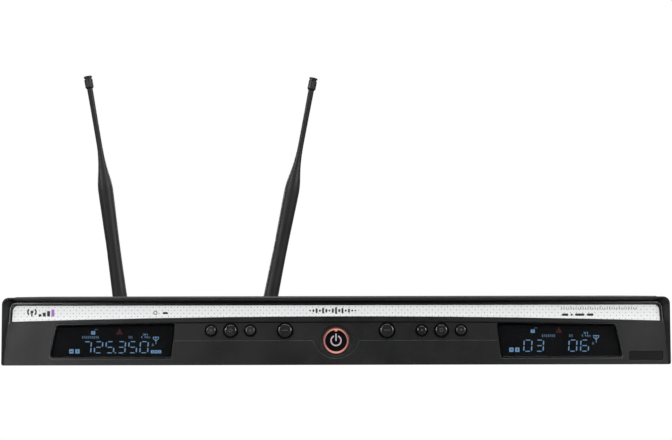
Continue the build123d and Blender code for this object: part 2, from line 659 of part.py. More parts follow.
CAN_SIZE = (52.0, 45.0, 11.0)
CAN_MIDDLE_Y = REAR - 59.2
CAN_SHEET = 0.5
LEAD_RADIUS = 1.25
LEAD_UP = 15.0
with BuildPart() as tuner_shields:
    for channel, x, lean, bend in ANTENNAS:
        with BuildSketch(Plane.XY.offset(BOARD_TOP)):
            with Locations((x, CAN_MIDDLE_Y)):
                RectangleRounded(CAN_SIZE[0], CAN_SIZE[1], 1.0)
        extrude(amount=CAN_SIZE[2])
        with BuildSketch(Plane.XY.offset(BOARD_TOP)):
            with Locations((x, CAN_MIDDLE_Y)):
                Rectangle(CAN_SIZE[0] - 2 * CAN_SHEET, CAN_SIZE[1] - 2 * CAN_SHEET)
        extrude(amount=CAN_SIZE[2] - CAN_SHEET, mode=Mode.SUBTRACT)
        with BuildSketch(Plane.XY.offset(BOARD_TOP + CAN_SIZE[2] - CAN_SHEET)):
            with Locations((x, CAN_MIDDLE_Y)):
                with GridLocations(9.0, 9.0, 4, 3):
                    Circle(1.2)
        extrude(amount=CAN_SHEET, mode=Mode.SUBTRACT)
        with BuildSketch(Plane.XZ.offset(-(CAN_MIDDLE_Y + CAN_SIZE[1] / 2 + 1))):
            with Locations((x, LEAD_UP)):
                Circle(LEAD_RADIUS + 0.05)
        extrude(amount=3, mode=Mode.SUBTRACT)
finish("tuner_shields", tuner_shields)

# x, y, width, depth, height of the chips on the main board
CHIPS = [(-105, -20, 14, 14), (-20, -10, 20, 20), (30, -10, 14, 14), (50, 30, 10, 7), (90, 30, 10, 7), (110, -30, 12, 9)]
with BuildPart() as signal_chips:
    for x, y, width, depth in CHIPS:
        with BuildSketch(Plane.XY.offset(BOARD_TOP)):
            with Locations((x, y)):
                Rectangle(width, depth)
        extrude(amount=1.6)
    chamfer(signal_chips.faces().group_by(Axis.Z)[-1].edges(), 0.25)
finish("signal_chips", signal_chips)

CAPACITORS = [(140.0, -50.0), (155.0, -50.0), (170.0, -50.0), (150.0, -20.0), (172.0, 10.0), (188.0, 10.0)]
with BuildPart() as capacitors:
    with BuildSketch(Plane.XY.offset(BOARD_TOP)):
        with Locations(*CAPACITORS):
            Circle(5.0)
    extrude(amount=12.5)
    fillet(capacitors.faces().group_by(Axis.Z)[-1].edges(), 0.5)
    with BuildSketch(Plane.XY.offset(BOARD_TOP + 12.5)):
        with Locations(*CAPACITORS):
            Rectangle(7.0, 0.4)
            Rectangle(0.4, 7.0)
    extrude(amount=-0.4, mode=Mode.SUBTRACT)
finish("capacitors", capacitors)

# Flat cable from the control board back and down to the main board.
HEADER_LENGTH, HEADER_WIDTH, HEADER_HEIGHT = 32.0, 6.0, 5.0
CABLE_WIDTH, CABLE_THICKNESS = 27.0, 0.9
CABLE_UP, CABLE_Y = 25.0, CASE_FRONT + 24
cable_start = behind_face(CABLE_UP, CONTROL_BOARD_DEPTH + BOARD + 1)
cable_fall = (CABLE_Y - cable_start[0]) * tan(radians(FACE_TILT))
with BuildPart() as ribbon_cable:
    with BuildSketch(Plane.YZ):
        with BuildLine() as middle:
            FilletPolyline(
                cable_start, (CABLE_Y, cable_start[1] - cable_fall), (CABLE_Y, BOARD_TOP + 1.2), radius=6.0
            )
        trace(line_width=CABLE_THICKNESS)
    extrude(amount=CABLE_WIDTH / 2, both=True)
finish("ribbon_cable", ribbon_cable)

with BuildPart() as ribbon_headers:
    with BuildSketch(face_plane(CONTROL_BOARD_DEPTH + BOARD)):
        with Locations((0, up_face(CABLE_UP))):
            Rectangle(HEADER_LENGTH, HEADER_WIDTH)
    extrude(amount=-HEADER_HEIGHT)
    with BuildSketch(Plane.XY.offset(BOARD_TOP)):
        with Locations((0, CABLE_Y)):
            Rectangle(HEADER_LENGTH, HEADER_WIDTH)
    extrude(amount=HEADER_HEIGHT)
    with BuildSketch(face_plane(CONTROL_BOARD_DEPTH + BOARD + 0.6)):
        with Locations((0, up_face(CABLE_UP))):
            Rectangle(CABLE_WIDTH + 0.4, CABLE_THICKNESS + 0.4)
    extrude(amount=-HEADER_HEIGHT, mode=Mode.SUBTRACT)
    with BuildSketch(Plane.XY.offset(BOARD_TOP + 1)):
        with Locations((0, CABLE_Y)):
            Rectangle(CABLE_WIDTH + 0.4, CABLE_THICKNESS + 0.4)
    extrude(amount=HEADER_HEIGHT, mode=Mode.SUBTRACT)
finish("ribbon_headers", ribbon_headers)

# ---------------------------------------------------------------- case
EAR_MIDDLE = (CASE_FRONT + 19.0, CONNECTOR_UP)
EAR_SPACING, EAR_HOLE = 20.0, 2.1
TRAY_HALF = CASE_WIDTH / 2 - SHEET - 0.1
TRAY_TOP = CASE_TOP - SHEET - 0.1
SIDE_FLANGE = 12.0
TOP_FLANGE = 12.0
SIDE_SCREWS = [(CASE_FRONT + 62, 7.0), (CASE_FRONT + 120, 7.0), (REAR - 12, 7.0)]
TOP_SCREWS = [(x, y) for x in (-150.0, 0.0, 150.0) for y in (CASE_FRONT + 7, REAR - 6)]
XLR_CUP, XLR_BORE = 11.5, 8.1
XLR_FLANGE = (26.0, 31.0, 1.8)
XLR_SCREWS = [(-9.5, 12.0), (9.5, -12.0)]
MIX_X, MIX_BUSHING, MIX_BORE = 150.0, 5.5, 3.25
DC_X, DC_BUSHING = 190.0, 5.0
JACK_RADIUS = 4.8
COVER_SCREW, COVER_SCREW_HEAD = 1.45, 2.7

REAR_FOLD = 6.0  # the rear panel's foot, on the tray's floor

with BuildPart() as base_tray:
    middle_y = (CASE_FRONT + REAR) / 2
    with BuildSketch(Plane.XY.offset(CASE_BOTTOM)):
        with Locations((0, middle_y)):
            Rectangle(2 * TRAY_HALF, REAR - CASE_FRONT)
    extrude(amount=SHEET)
    with BuildSketch(Plane.XZ.offset(-(CASE_FRONT + SHEET))):
        with Locations((0, (CASE_BOTTOM + TRAY_TOP) / 2)):
            Rectangle(2 * TRAY_HALF, TRAY_TOP - CASE_BOTTOM)
    extrude(amount=SHEET)
    with BuildSketch(Plane.XY.offset(TRAY_TOP)):
        with Locations((0, CASE_FRONT + TOP_FLANGE / 2)):
            Rectangle(2 * TRAY_HALF, TOP_FLANGE)
    extrude(amount=-SHEET)
    for x in (-TRAY_HALF, TRAY_HALF - SHEET):
        with BuildSketch(Plane.YZ.offset(x)):
            with BuildLine():
                Polyline(
                    (CASE_FRONT, CASE_BOTTOM),
                    (REAR - SHEET, CASE_BOTTOM),
                    (REAR - SHEET, SIDE_FLANGE),
                    (CASE_FRONT + 42, SIDE_FLANGE),
                    (CASE_FRONT + 38, SIDE_FLANGE + 4),
                    (CASE_FRONT + 38, TRAY_TOP),
                    (CASE_FRONT, TRAY_TOP),
                    close=True,
                )
            make_face()
        extrude(amount=SHEET)
    # Holes for rack ears and cover screws.
    with BuildSketch(Plane.YZ):
        with Locations(EAR_MIDDLE):
            with GridLocations(EAR_SPACING, EAR_SPACING, 2, 2):
                Circle(EAR_HOLE)
        with Locations(*SIDE_SCREWS):
            Circle(COVER_SCREW + 0.05)
    extrude(amount=CASE_WIDTH, both=True, mode=Mode.SUBTRACT)
    with BuildSketch(Plane.XY.offset(TRAY_TOP)):
        with Locations(*TOP_SCREWS):
            Circle(COVER_SCREW + 0.05)
    extrude(amount=-SHEET, mode=Mode.SUBTRACT)
    # Front wall: way through for the flat cable, holes for the bezel screws.
    with BuildSketch(Plane.XZ.offset(-(CASE_FRONT + SHEET + 1))):
        with Locations((0, CABLE_UP)):
            RectangleRounded(44, 20, 2)
        with Locations(*BEZEL_BOSSES):
            Circle(SCREW_HOLE)
    extrude(amount=3, mode=Mode.SUBTRACT)
finish("base_tray", base_tray)

with BuildPart() as rear_panel:
    panel_foot = CASE_BOTTOM + SHEET
    with BuildSketch(rear_plane(-SHEET)):
        with Locations((0, (panel_foot + TRAY_TOP) / 2)):
            Rectangle(2 * TRAY_HALF, TRAY_TOP - panel_foot)
    extrude(amount=SHEET)
    # Folded along the top for the cover's screws, and along the floor.
    for height, reach, half in (
        (TRAY_TOP, TOP_FLANGE, TRAY_HALF),
        (panel_foot + SHEET, REAR_FOLD, TRAY_HALF - 2 * SHEET),
    ):
        with BuildSketch(Plane.XY.offset(height)):
            with Locations((0, REAR - reach / 2)):
                Rectangle(2 * half, reach)
        extrude(amount=-SHEET)
    with BuildSketch(Plane.XY.offset(TRAY_TOP)):
        with Locations(*TOP_SCREWS):
            Circle(COVER_SCREW + 0.05)
    extrude(amount=-SHEET, mode=Mode.SUBTRACT)
    # Holes for the connectors.
    with BuildSketch(Plane.XZ.offset(-(REAR + 1))):
        with Locations(*[(x, ANTENNA_UP) for channel, x, lean, bend in ANTENNAS]):
            Circle(JACK_RADIUS + 0.05)
        with Locations((MIX_X, CONNECTOR_UP)):
            Circle(MIX_BUSHING + 0.05)
        with Locations((DC_X, CONNECTOR_UP)):
            Circle(DC_BUSHING + 0.05)
        for label, x in XLR_OUTPUTS:
            with Locations((x, CONNECTOR_UP)):
                Circle(XLR_CUP + 0.1)
            with Locations(*[(x + dx, CONNECTOR_UP + dz) for dx, dz in XLR_SCREWS]):
                Circle(COVER_SCREW + 0.05)
    extrude(amount=3, mode=Mode.SUBTRACT)
finish("rear_panel", rear_panel)

with BuildPart() as top_cover:
    front_edge = BEZEL_DEPTH + 0.3
    with BuildSketch(front_plane(front_edge)):
        with Locations((0, (CASE_BOTTOM + CASE_TOP) / 2)):
            outer = Rectangle(CASE_WIDTH, CASE_TOP - CASE_BOTTOM)
        fillet(outer.vertices().group_by(Axis.Y)[-1], 1.6)
        with Locations((0, (CASE_BOTTOM + CASE_TOP) / 2 - SHEET)):
            Rectangle(CASE_WIDTH - 2 * SHEET, CASE_TOP - CASE_BOTTOM, mode=Mode.SUBTRACT)
    extrude(amount=-(REAR_DEPTH - front_edge))
    with BuildSketch(Plane.YZ):
        with Locations(EAR_MIDDLE):
            with GridLocations(EAR_SPACING, EAR_SPACING, 2, 2):
                Circle(EAR_HOLE)
        with Locations((REAR - 60, CONNECTOR_UP + 1)):
            with GridLocations(8.0, 10.0, 10, 1):
                SlotOverall(18.0, 3.0, rotation=90)
    extrude(amount=CASE_WIDTH, both=True, mode=Mode.SUBTRACT)
    # Countersinks.
    for side in (-1, 1):
        outside = Plane(origin=(side * CASE_WIDTH / 2, 0, 0), x_dir=(0, side, 0), z_dir=(side, 0, 0))
        with BuildSketch(outside):
            with Locations(*[(side * y, z) for y, z in SIDE_SCREWS]):
                Circle(COVER_SCREW_HEAD + 0.05)
        extrude(amount=-SHEET, taper=45, mode=Mode.SUBTRACT)
    with BuildSketch(Plane.XY.offset(CASE_TOP)):
        with Locations(*TOP_SCREWS):
            Circle(COVER_SCREW_HEAD + 0.05)
    extrude(amount=-SHEET, taper=45, mode=Mode.SUBTRACT)
finish("top_cover", top_cover)

with BuildPart() as cover_screws:
    sides = [Plane(origin=(s * CASE_WIDTH / 2, 0, 0), x_dir=(0, s, 0), z_dir=(s, 0, 0)) for s in (-1, 1)]
    groups = [(plane, [(plane.x_dir.Y * y, z) for y, z in SIDE_SCREWS]) for plane in sides]
    groups.append((Plane.XY.offset(CASE_TOP), TOP_SCREWS))
    for plane, places in groups:
        with BuildSketch(plane):
            with Locations(*places):
                Circle(COVER_SCREW_HEAD)
        extrude(amount=-SHEET, taper=45)
        with BuildSketch(plane):
            with Locations(*places):
                Circle(COVER_SCREW)
        extrude(amount=-7)
        with BuildSketch(plane):
            with Locations(*places):
                Rectangle(3.0, 0.6)
                Rectangle(0.6, 3.0)
        extrude(amount=-0.8, mode=Mode.SUBTRACT)
finish("cover_screws", cover_screws)

with BuildPart() as rubber_feet:
    with BuildSketch():
        with Locations(*[(x, y) for x in (-185, 185) for y in (FRONT + 32, REAR - 24)]):
            Circle(8.0)
    extrude(amount=CASE_BOTTOM)
    fillet(rubber_feet.faces().group_by(Axis.Z)[0].edges(), 0.4)
finish("rubber_feet", rubber_feet)

# ---------------------------------------------------------------- rear connectors
XLR_CUP_DEPTH, XLR_BACK = 13.0, -16.0
XLR_PIN_RADIUS, XLR_PIN_TIP = 1.2, -1.5
for label, x in XLR_OUTPUTS:
    with BuildPart() as xlr_output:
        with BuildSketch(rear_plane()):
            with Locations((-x, CONNECTOR_UP)):
                RectangleRounded(XLR_FLANGE[0], XLR_FLANGE[1], 3.0)
        extrude(amount=XLR_FLANGE[2])
        chamfer(xlr_output.faces().sort_by(Axis.Y)[-1].edges(), 0.4)
        with BuildSketch(rear_plane(XLR_BACK)):
            with Locations((-x, CONNECTOR_UP)):
                Circle(XLR_CUP)
        extrude(amount=-XLR_BACK)
        with BuildSketch(rear_plane(XLR_FLANGE[2])):
            with Locations((-x, CONNECTOR_UP)):
                Circle(XLR_BORE)
        extrude(amount=-XLR_CUP_DEPTH, mode=Mode.SUBTRACT)
        with BuildSketch(rear_plane(XLR_FLANGE[2])):
            with Locations((-x, CONNECTOR_UP + XLR_BORE)):
                Rectangle(2.4, 2.0)
        extrude(amount=-XLR_CUP_DEPTH, mode=Mode.SUBTRACT)
        with BuildSketch(rear_plane(XLR_FLANGE[2])):
            with Locations(*[(-x + dx, CONNECTOR_UP + dz) for dx, dz in XLR_PINS]):
                Circle(XLR_PIN_RADIUS)
        extrude(amount=-30, mode=Mode.SUBTRACT)
        with BuildSketch(rear_plane(XLR_FLANGE[2])):
            with Locations(*[(-x - dx, CONNECTOR_UP + dz) for dx, dz in XLR_SCREWS]):
                Circle(COVER_SCREW + 0.05)
        extrude(amount=-XLR_FLANGE[2], mode=Mode.SUBTRACT)
    finish(f"xlr_output_{label}", xlr_output)

with BuildPart() as xlr_pins:
    for label, x in XLR_OUTPUTS:
        for dx, dz in XLR_PINS:
            tail_y = REAR + XLR_TAIL_BEHIND - abs(dx) / 2
            with BuildSketch(rear_plane(XLR_BACK)):
                with Locations((-x - dx, CONNECTOR_UP + dz)):
                    Circle(XLR_PIN_RADIUS)
            extrude(amount=XLR_PIN_TIP - XLR_BACK)
            with BuildSketch(Plane.XZ.offset(-(REAR + XLR_BACK))):
                with Locations((x + dx, CONNECTOR_UP + dz)):
                    Circle(TAIL_RADIUS)
            extrude(amount=REAR + XLR_BACK - tail_y + TAIL_RADIUS)
            with BuildSketch(Plane.XY.offset(BOARD_BOTTOM - 1.5)):
                with Locations((x + dx, tail_y)):
                    Circle(TAIL_RADIUS)
            extrude(amount=CONNECTOR_UP + dz - BOARD_BOTTOM + 1.5)
    fillet(xlr_pins.faces().group_by(Axis.Y)[-1].edges(), 0.7)
finish("xlr_pins", xlr_pins)

# Pan head screws: four hold the bezel from inside the case, two hold each cable connector.
PAN_HEAD = 2.6
with BuildPart() as pan_head_screws:
    add(screws(rear_plane(CASE_FRONT + SHEET - REAR), [(-x, h) for x, h in BEZEL_BOSSES], 8.0, head=PAN_HEAD))
    places = [(-(x + dx), CONNECTOR_UP + dz) for label, x in XLR_OUTPUTS for dx, dz in XLR_SCREWS]
    add(screws(rear_plane(XLR_FLANGE[2]), places, 4.8, COVER_SCREW, PAN_HEAD))
finish("pan_head_screws", pan_head_screws)

MIX_BODY = (16.0, 22.0)  # width and height of the housing, which stands on the main board
MIX_LENGTH, MIX_OUTSIDE = 27.0, 5.0
with BuildPart() as mix_output_jack:
    with BuildSketch(rear_plane(-SHEET)):
        with Locations((-MIX_X, BOARD_TOP + MIX_BODY[1] / 2)):
            Rectangle(*MIX_BODY)
    extrude(amount=-MIX_LENGTH)
    fillet(mix_output_jack.faces().sort_by(Axis.Z)[-1].edges(), 1.0)
    with BuildSketch(rear_plane(-SHEET)):
        with Locations((-MIX_X, CONNECTOR_UP)):
            Circle(MIX_BUSHING)
    extrude(amount=SHEET + MIX_OUTSIDE)
    chamfer(mix_output_jack.faces().sort_by(Axis.Y)[-1].edges(), 0.5)
    with BuildSketch(rear_plane(MIX_OUTSIDE)):
        with Locations((-MIX_X, CONNECTOR_UP)):
            Circle(MIX_BORE)
    extrude(amount=-(MIX_OUTSIDE + MIX_LENGTH - 1), mode=Mode.SUBTRACT)
finish("mix_output_jack", mix_output_jack)

with BuildPart() as mix_output_nut:
    with BuildSketch(rear_plane()):
        with Locations((-MIX_X, CONNECTOR_UP)):
            RegularPolygon(8.0, 6)
            Circle(MIX_BUSHING + 0.02, mode=Mode.SUBTRACT)
    extrude(amount=2.2)
finish("mix_output_nut", mix_output_nut)

DC_LENGTH, DC_BORE, DC_PIN = 14.0, 3.0, 1.0
with BuildPart() as dc_inlet:
    with BuildSketch(rear_plane(-SHEET)):
        with Locations((-DC_X, (BOARD_TOP + CONNECTOR_UP + 7) / 2)):
            Rectangle(13.0, CONNECTOR_UP + 7 - BOARD_TOP)
    extrude(amount=-DC_LENGTH)
    fillet(dc_inlet.faces().sort_by(Axis.Z)[-1].edges(), 0.8)
    with BuildSketch(rear_plane(-SHEET)):
        with Locations((-DC_X, CONNECTOR_UP)):
            Circle(DC_BUSHING)
    extrude(amount=SHEET + 1.5)
    fillet(dc_inlet.faces().sort_by(Axis.Y)[-1].edges(), 0.4)
    with BuildSketch(rear_plane(1.5)):
        with Locations((-DC_X, CONNECTOR_UP)):
            Circle(DC_BORE)
            Circle(DC_PIN, mode=Mode.SUBTRACT)
    extrude(amount=-11.0, mode=Mode.SUBTRACT)
    with BuildSketch(rear_plane(1.5)):
        with Locations((-DC_X, CONNECTOR_UP)):
            Circle(DC_PIN)
    extrude(amount=-1.5, mode=Mode.SUBTRACT)
finish("dc_inlet", dc_inlet)

# ---------------------------------------------------------------- antennas
# Distances along the jack's axis are measured from the rear panel, radii from the axis.
JACK_BACK, JACK_FRONT, JACK_BORE = -10.0, 10.5, 4.1
INSULATOR_RADIUS, CONTACT_HOLE, CONTACT_PIN = 2.4, 0.7, 0.6
COLLAR_START, COLLAR_END, COLLAR_LIP = 2.9, 15.1, 13.9
COLLAR_OUTER, COLLAR_INNER, COLLAR_NECK = 7.2, 5.7, 4.85
PLUG_START, PLUG_SHOULDER, PLUG_NECK, PLUG_SHANK = 2.5, 12.0, 13.6, 15.4
CHEEK_HALF, SLOT_HALF, TONGUE_HALF, TONGUE_RADIUS = 5.5, 3.05, 2.9, 5.2
FORK_BACK = 5.8  # from the hinge axis to the end of the plug's shank
HINGE_PIN, HINGE_HOLE = 1.2, 1.25
BOOT_START = 6.3
# distance from the hinge axis and radius of the whip
BOOT_PROFILE = [(9.0, 5.4), (30.0, 5.25), (55.0, 5.05), (75.0, 5.2), (93.0, 5.45), (100.0, 5.5)]
NECK_PROFILE = [(100.0, 5.5), (107.7, 4.9), (115.0, 3.65), (122.6, 2.63)]
WHIP_BEND = 130.0
# distance from the hinge axis, radius, and share of the bend reached, of the thin upper part
UPPER_PROFILE = [
    (122.6, 2.63, 0.0),
    (126.0, 2.33, 0.2),
    (130.0, 2.1, 0.5),
    (134.0, 2.0, 0.85),
    (138.0, 1.98, 1.0),
    (158.0, 2.03, 1.0),
    (176.2, 2.15, 1.0),
]
TIP_START, TIP_RADIUS = UPPER_PROFILE[-1][0], 3.1


def jack_axis(x):
    """Axis of an antenna jack."""
    return Axis((x, 0, ANTENNA_UP), (0, 1, 0))


def jack_outline(x, points):
    """Half outline of a piece turned about a jack's axis, from (distance behind the panel, radius) points."""
    with BuildSketch(Plane.YZ.offset(x)) as outline:
        with BuildLine():
            Polyline(*[(REAR + behind, ANTENNA_UP + radius) for behind, radius in points], close=True)
        make_face()
    return outline.sketch


def hinge_plane(x, lean, along=0.0, bend=0.0):
    """Plane across the hinge axis: local X points back, local Y along the whip, which leans towards +X."""
    turned, base = radians(lean + bend), radians(lean)
    start = (x + along * sin(base), REAR + ANTENNA_REACH, ANTENNA_UP + along * cos(base))
    return Plane(origin=start, x_dir=(0, 1, 0), z_dir=(cos(turned), 0, -sin(turned)))


def whip_section(x, lean, along, bend, share):
    """Plane across the whip at a distance from the hinge axis, where this share of its bend is reached."""
    straight = hinge_plane(x, lean, min(along, WHIP_BEND))
    bent = hinge_plane(x, lean, min(along, WHIP_BEND), bend)
    start = straight.origin + bent.y_dir * max(along - WHIP_BEND, 0)
    return Plane(origin=start, x_dir=(0, 1, 0), z_dir=hinge_plane(x, lean, 0, bend * share).y_dir)


with BuildPart() as antenna_jack_nuts:
    for channel, x, lean, bend in ANTENNAS:
        with BuildSketch(rear_plane()):
            with Locations((-x, ANTENNA_UP)):
                RegularPolygon(7.6, 6)
                Circle(JACK_RADIUS + 0.02, mode=Mode.SUBTRACT)
        extrude(amount=2.3)
finish("antenna_jack_nuts", antenna_jack_nuts)

with BuildPart() as jack_insulators:
    for channel, x, lean, bend in ANTENNAS:
        inner, outer = CONTACT_HOLE, INSULATOR_RADIUS
        tube = [(JACK_BACK, inner), (JACK_BACK, outer), (9.5, outer), (9.5, inner)]
        revolve(jack_outline(x, tube), axis=jack_axis(x))
finish("jack_insulators", jack_insulators)

for channel, x, lean, bend in ANTENNAS:
    with BuildPart() as antenna_jack:
        barrel = [
            (JACK_BACK, INSULATOR_RADIUS),
            (JACK_BACK, JACK_RADIUS),
            (-3.2, JACK_RADIUS),
            (-3.2, 6.8),
            (-SHEET, 6.8),
            (-SHEET, JACK_RADIUS),
            (JACK_FRONT, JACK_RADIUS),
            (JACK_FRONT, JACK_BORE),
            (1.5, JACK_BORE),
            (1.5, INSULATOR_RADIUS),
        ]
        revolve(jack_outline(x, barrel), axis=jack_axis(x))
        with BuildSketch(Plane.XY.offset(ANTENNA_UP - 5.5)):
            with Locations((x, REAR + 7.0)):
                Circle(0.95)
        extrude(amount=1.1)
        with BuildSketch(Plane.XY.offset(ANTENNA_UP + 4.4)):
            with Locations((x, REAR + 7.0)):
                Circle(0.95)
        extrude(amount=1.1)
    finish(f"antenna_jack_{channel}", antenna_jack)

    with BuildPart() as antenna_lead:
        inner_y, can_y = REAR + JACK_BACK, CAN_MIDDLE_Y + CAN_SIZE[1] / 2 - CAN_SHEET
        with BuildLine():
            FilletPolyline(
                (x, inner_y, ANTENNA_UP),
                (x, inner_y - 8, ANTENNA_UP),
                (x, inner_y - 15, LEAD_UP),
                (x, can_y, LEAD_UP),
                radius=4.0,
            )
        with BuildSketch(Plane.XZ.offset(-inner_y)):
            with Locations((x, ANTENNA_UP)):
                Circle(LEAD_RADIUS)
        sweep()
    finish(f"antenna_lead_{channel}", antenna_lead)

    with BuildPart() as antenna_collar:
        sleeve = [
            (COLLAR_START, COLLAR_INNER),
            (COLLAR_START, COLLAR_OUTER - 0.5),
            (COLLAR_START + 0.5, COLLAR_OUTER),
            (COLLAR_END - 0.5, COLLAR_OUTER),
            (COLLAR_END, COLLAR_OUTER - 0.5),
            (COLLAR_END, COLLAR_NECK),
            (COLLAR_LIP, COLLAR_NECK),
            (COLLAR_LIP, COLLAR_INNER),
        ]
        revolve(jack_outline(x, sleeve), axis=jack_axis(x))
        with BuildSketch(rear_plane(COLLAR_START + 1.5)):
            with Locations((-x, ANTENNA_UP)):
                with PolarLocations(COLLAR_OUTER + 0.35, 18):
                    Circle(0.8)
        extrude(amount=COLLAR_END - COLLAR_START - 3, mode=Mode.SUBTRACT)
    finish(f"antenna_collar_{channel}", antenna_collar)

    with BuildPart() as antenna_plug:
        shank_end = ANTENNA_REACH - FORK_BACK
        body = [
            (4.5, 0.0),
            (4.5, CONTACT_PIN - 0.2),
            (4.7, CONTACT_PIN),
            (PLUG_SHOULDER, CONTACT_PIN),
            (PLUG_SHOULDER, INSULATOR_RADIUS + 0.1),
            (PLUG_START, INSULATOR_RADIUS + 0.1),
            (PLUG_START, JACK_BORE - 0.1),
            (PLUG_SHOULDER, JACK_BORE - 0.1),
            (PLUG_SHOULDER, COLLAR_INNER - 0.2),
            (PLUG_NECK, COLLAR_INNER - 0.2),
            (PLUG_NECK, COLLAR_NECK - 0.2),
            (PLUG_SHANK, COLLAR_NECK - 0.2),
            (PLUG_SHANK, 5.4),
            (shank_end, 5.4),
            (shank_end, 0.0),
        ]
        revolve(jack_outline(x, body), axis=jack_axis(x))
    finish(f"antenna_plug_{channel}", antenna_plug)

    hinge = hinge_plane(x, lean)
    with BuildPart() as antenna_knuckle:
        with BuildSketch(hinge):
            Circle(KNUCKLE_RADIUS)
            with Locations((-FORK_BACK / 2, 0)):
                Rectangle(FORK_BACK, 2 * KNUCKLE_RADIUS)
        extrude(amount=CHEEK_HALF, both=True)
        cheeks = antenna_knuckle.faces().filter_by(Axis(hinge.origin, hinge.z_dir))
        chamfer(cheeks.edges(), 0.5)
        with BuildSketch(hinge):
            with Locations((5.0, 0)):
                Rectangle(2 * (5.0 + TONGUE_RADIUS + 0.3), 2 * KNUCKLE_RADIUS + 1)
        extrude(amount=SLOT_HALF, both=True, mode=Mode.SUBTRACT)
        with BuildSketch(hinge):
            Circle(HINGE_PIN)
        extrude(amount=CHEEK_HALF, both=True, mode=Mode.SUBTRACT)
    finish(f"antenna_knuckle_{channel}", antenna_knuckle)

    with BuildPart() as antenna_hinge_pin:
        with BuildSketch(hinge):
            Circle(HINGE_PIN)
        extrude(amount=CHEEK_HALF, both=True)
        chamfer(antenna_hinge_pin.edges().filter_by(GeomType.CIRCLE), 0.25)
    finish(f"antenna_hinge_pin_{channel}", antenna_hinge_pin)

    upper = hinge_plane(x, lean, WHIP_BEND, bend)
    with BuildPart() as antenna_whip:
        with BuildSketch(hinge):
            with BuildLine():
                Polyline(
                    (0, BOOT_START),
                    (5.0, BOOT_START),
                    (5.4, BOOT_START + 0.6),
                    (BOOT_PROFILE[0][1], BOOT_PROFILE[0][0]),
                )
                Spline(*[(radius, along) for along, radius in BOOT_PROFILE], tangents=[(0, 1), (0, 1)])
                Spline(*[(radius, along) for along, radius in NECK_PROFILE], tangents=[(0, 1), (-0.1, 1)])
                Polyline((NECK_PROFILE[-1][1], NECK_PROFILE[-1][0]), (0, NECK_PROFILE[-1][0]), (0, BOOT_START))
            make_face()
        revolve(axis=Axis(hinge.origin, hinge.y_dir))
        # Tongue between the cheeks.
        with BuildSketch(hinge):
            Circle(TONGUE_RADIUS)
            with Locations((0, BOOT_START / 2)):
                Rectangle(2 * TONGUE_RADIUS, BOOT_START)
        extrude(amount=TONGUE_HALF, both=True)
        with BuildSketch(hinge):
            Circle(HINGE_HOLE)
        extrude(amount=TONGUE_HALF, both=True, mode=Mode.SUBTRACT)
        # Thin upper part, slightly bent.
        for along, radius, share in UPPER_PROFILE:
            with BuildSketch(whip_section(x, lean, along, bend, share)):
                Circle(radius)
        loft(ruled=True)
    finish(f"antenna_whip_{channel}", antenna_whip)

    with BuildPart() as antenna_tip:
        start, top = TIP_START - WHIP_BEND, WHIP_LENGTH - WHIP_BEND
        with BuildSketch(upper):
            with BuildLine():
                Polyline(
                    (0, start),
                    (2.4, start),
                    (TIP_RADIUS, start + 1.1),
                    (TIP_RADIUS, top - 2.6),
                    (TIP_RADIUS - 0.5, top - 2.2),
                    (TIP_RADIUS - 0.5, top - 1.6),
                    (TIP_RADIUS, top - 1.3),
                    (TIP_RADIUS, top - 0.4),
                    (TIP_RADIUS - 0.5, top),
                    (0, top),
                    close=True,
                )
            make_face()
        revolve(axis=Axis(upper.origin, upper.y_dir))
        tip_end = Plane(origin=upper.origin + upper.y_dir * (start + 1.6), x_dir=upper.x_dir, z_dir=upper.y_dir)
        with BuildSketch(tip_end):
            with PolarLocations(TIP_RADIUS + 0.35, 8):
                Circle(0.75)
        extrude(amount=top - start - 4.6, mode=Mode.SUBTRACT)
    finish(f"antenna_tip_{channel}", antenna_tip)
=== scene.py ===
import json
import math

import bmesh
import bpy
from mathutils import Matrix, Vector


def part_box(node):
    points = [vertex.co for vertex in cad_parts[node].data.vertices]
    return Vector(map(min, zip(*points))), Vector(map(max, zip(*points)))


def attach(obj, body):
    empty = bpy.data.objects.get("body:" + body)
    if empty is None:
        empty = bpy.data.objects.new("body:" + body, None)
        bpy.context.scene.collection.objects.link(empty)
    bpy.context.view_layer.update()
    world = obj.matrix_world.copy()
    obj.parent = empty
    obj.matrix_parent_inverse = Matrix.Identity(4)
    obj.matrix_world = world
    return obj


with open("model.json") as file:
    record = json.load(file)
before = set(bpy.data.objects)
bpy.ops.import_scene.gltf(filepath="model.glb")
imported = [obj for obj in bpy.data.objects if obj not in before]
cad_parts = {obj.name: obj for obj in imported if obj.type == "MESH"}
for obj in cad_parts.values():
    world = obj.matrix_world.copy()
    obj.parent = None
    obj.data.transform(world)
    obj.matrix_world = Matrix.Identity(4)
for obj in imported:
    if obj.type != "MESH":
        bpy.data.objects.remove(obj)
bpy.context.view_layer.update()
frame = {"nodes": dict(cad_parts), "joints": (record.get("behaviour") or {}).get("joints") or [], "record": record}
scene = bpy.context.scene
NODES = frame["nodes"]
MM = 0.001

# ---------------------------------------------------------------- where things are, from the frame
bezel_low, bezel_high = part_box("front_bezel")
FRONT = bezel_low.y
JOINTS = {joint["name"]: joint for joint in frame["joints"]}
PRESS = Vector(JOINTS["power_press"]["axis"]).normalized()  # straight into the leaning face
UP_FACE = Vector((0, -PRESS.z, PRESS.y)).normalized()  # up along the face
RIGHT = Vector((1, 0, 0))
FACE_FOOT = 0.8 * MM  # the face's depth behind the bezel's front edge at table height
FACE_ORIGIN = Vector((0, FRONT + FACE_FOOT, 0))


def on_face(x, height, depth=0.0):
    """Point on the leaning face, from millimetres: across, height above the table, depth behind the face."""
    up = height / PRESS.y
    return FACE_ORIGIN + RIGHT * (x * MM) + UP_FACE * (up * MM) + PRESS * (depth * MM)


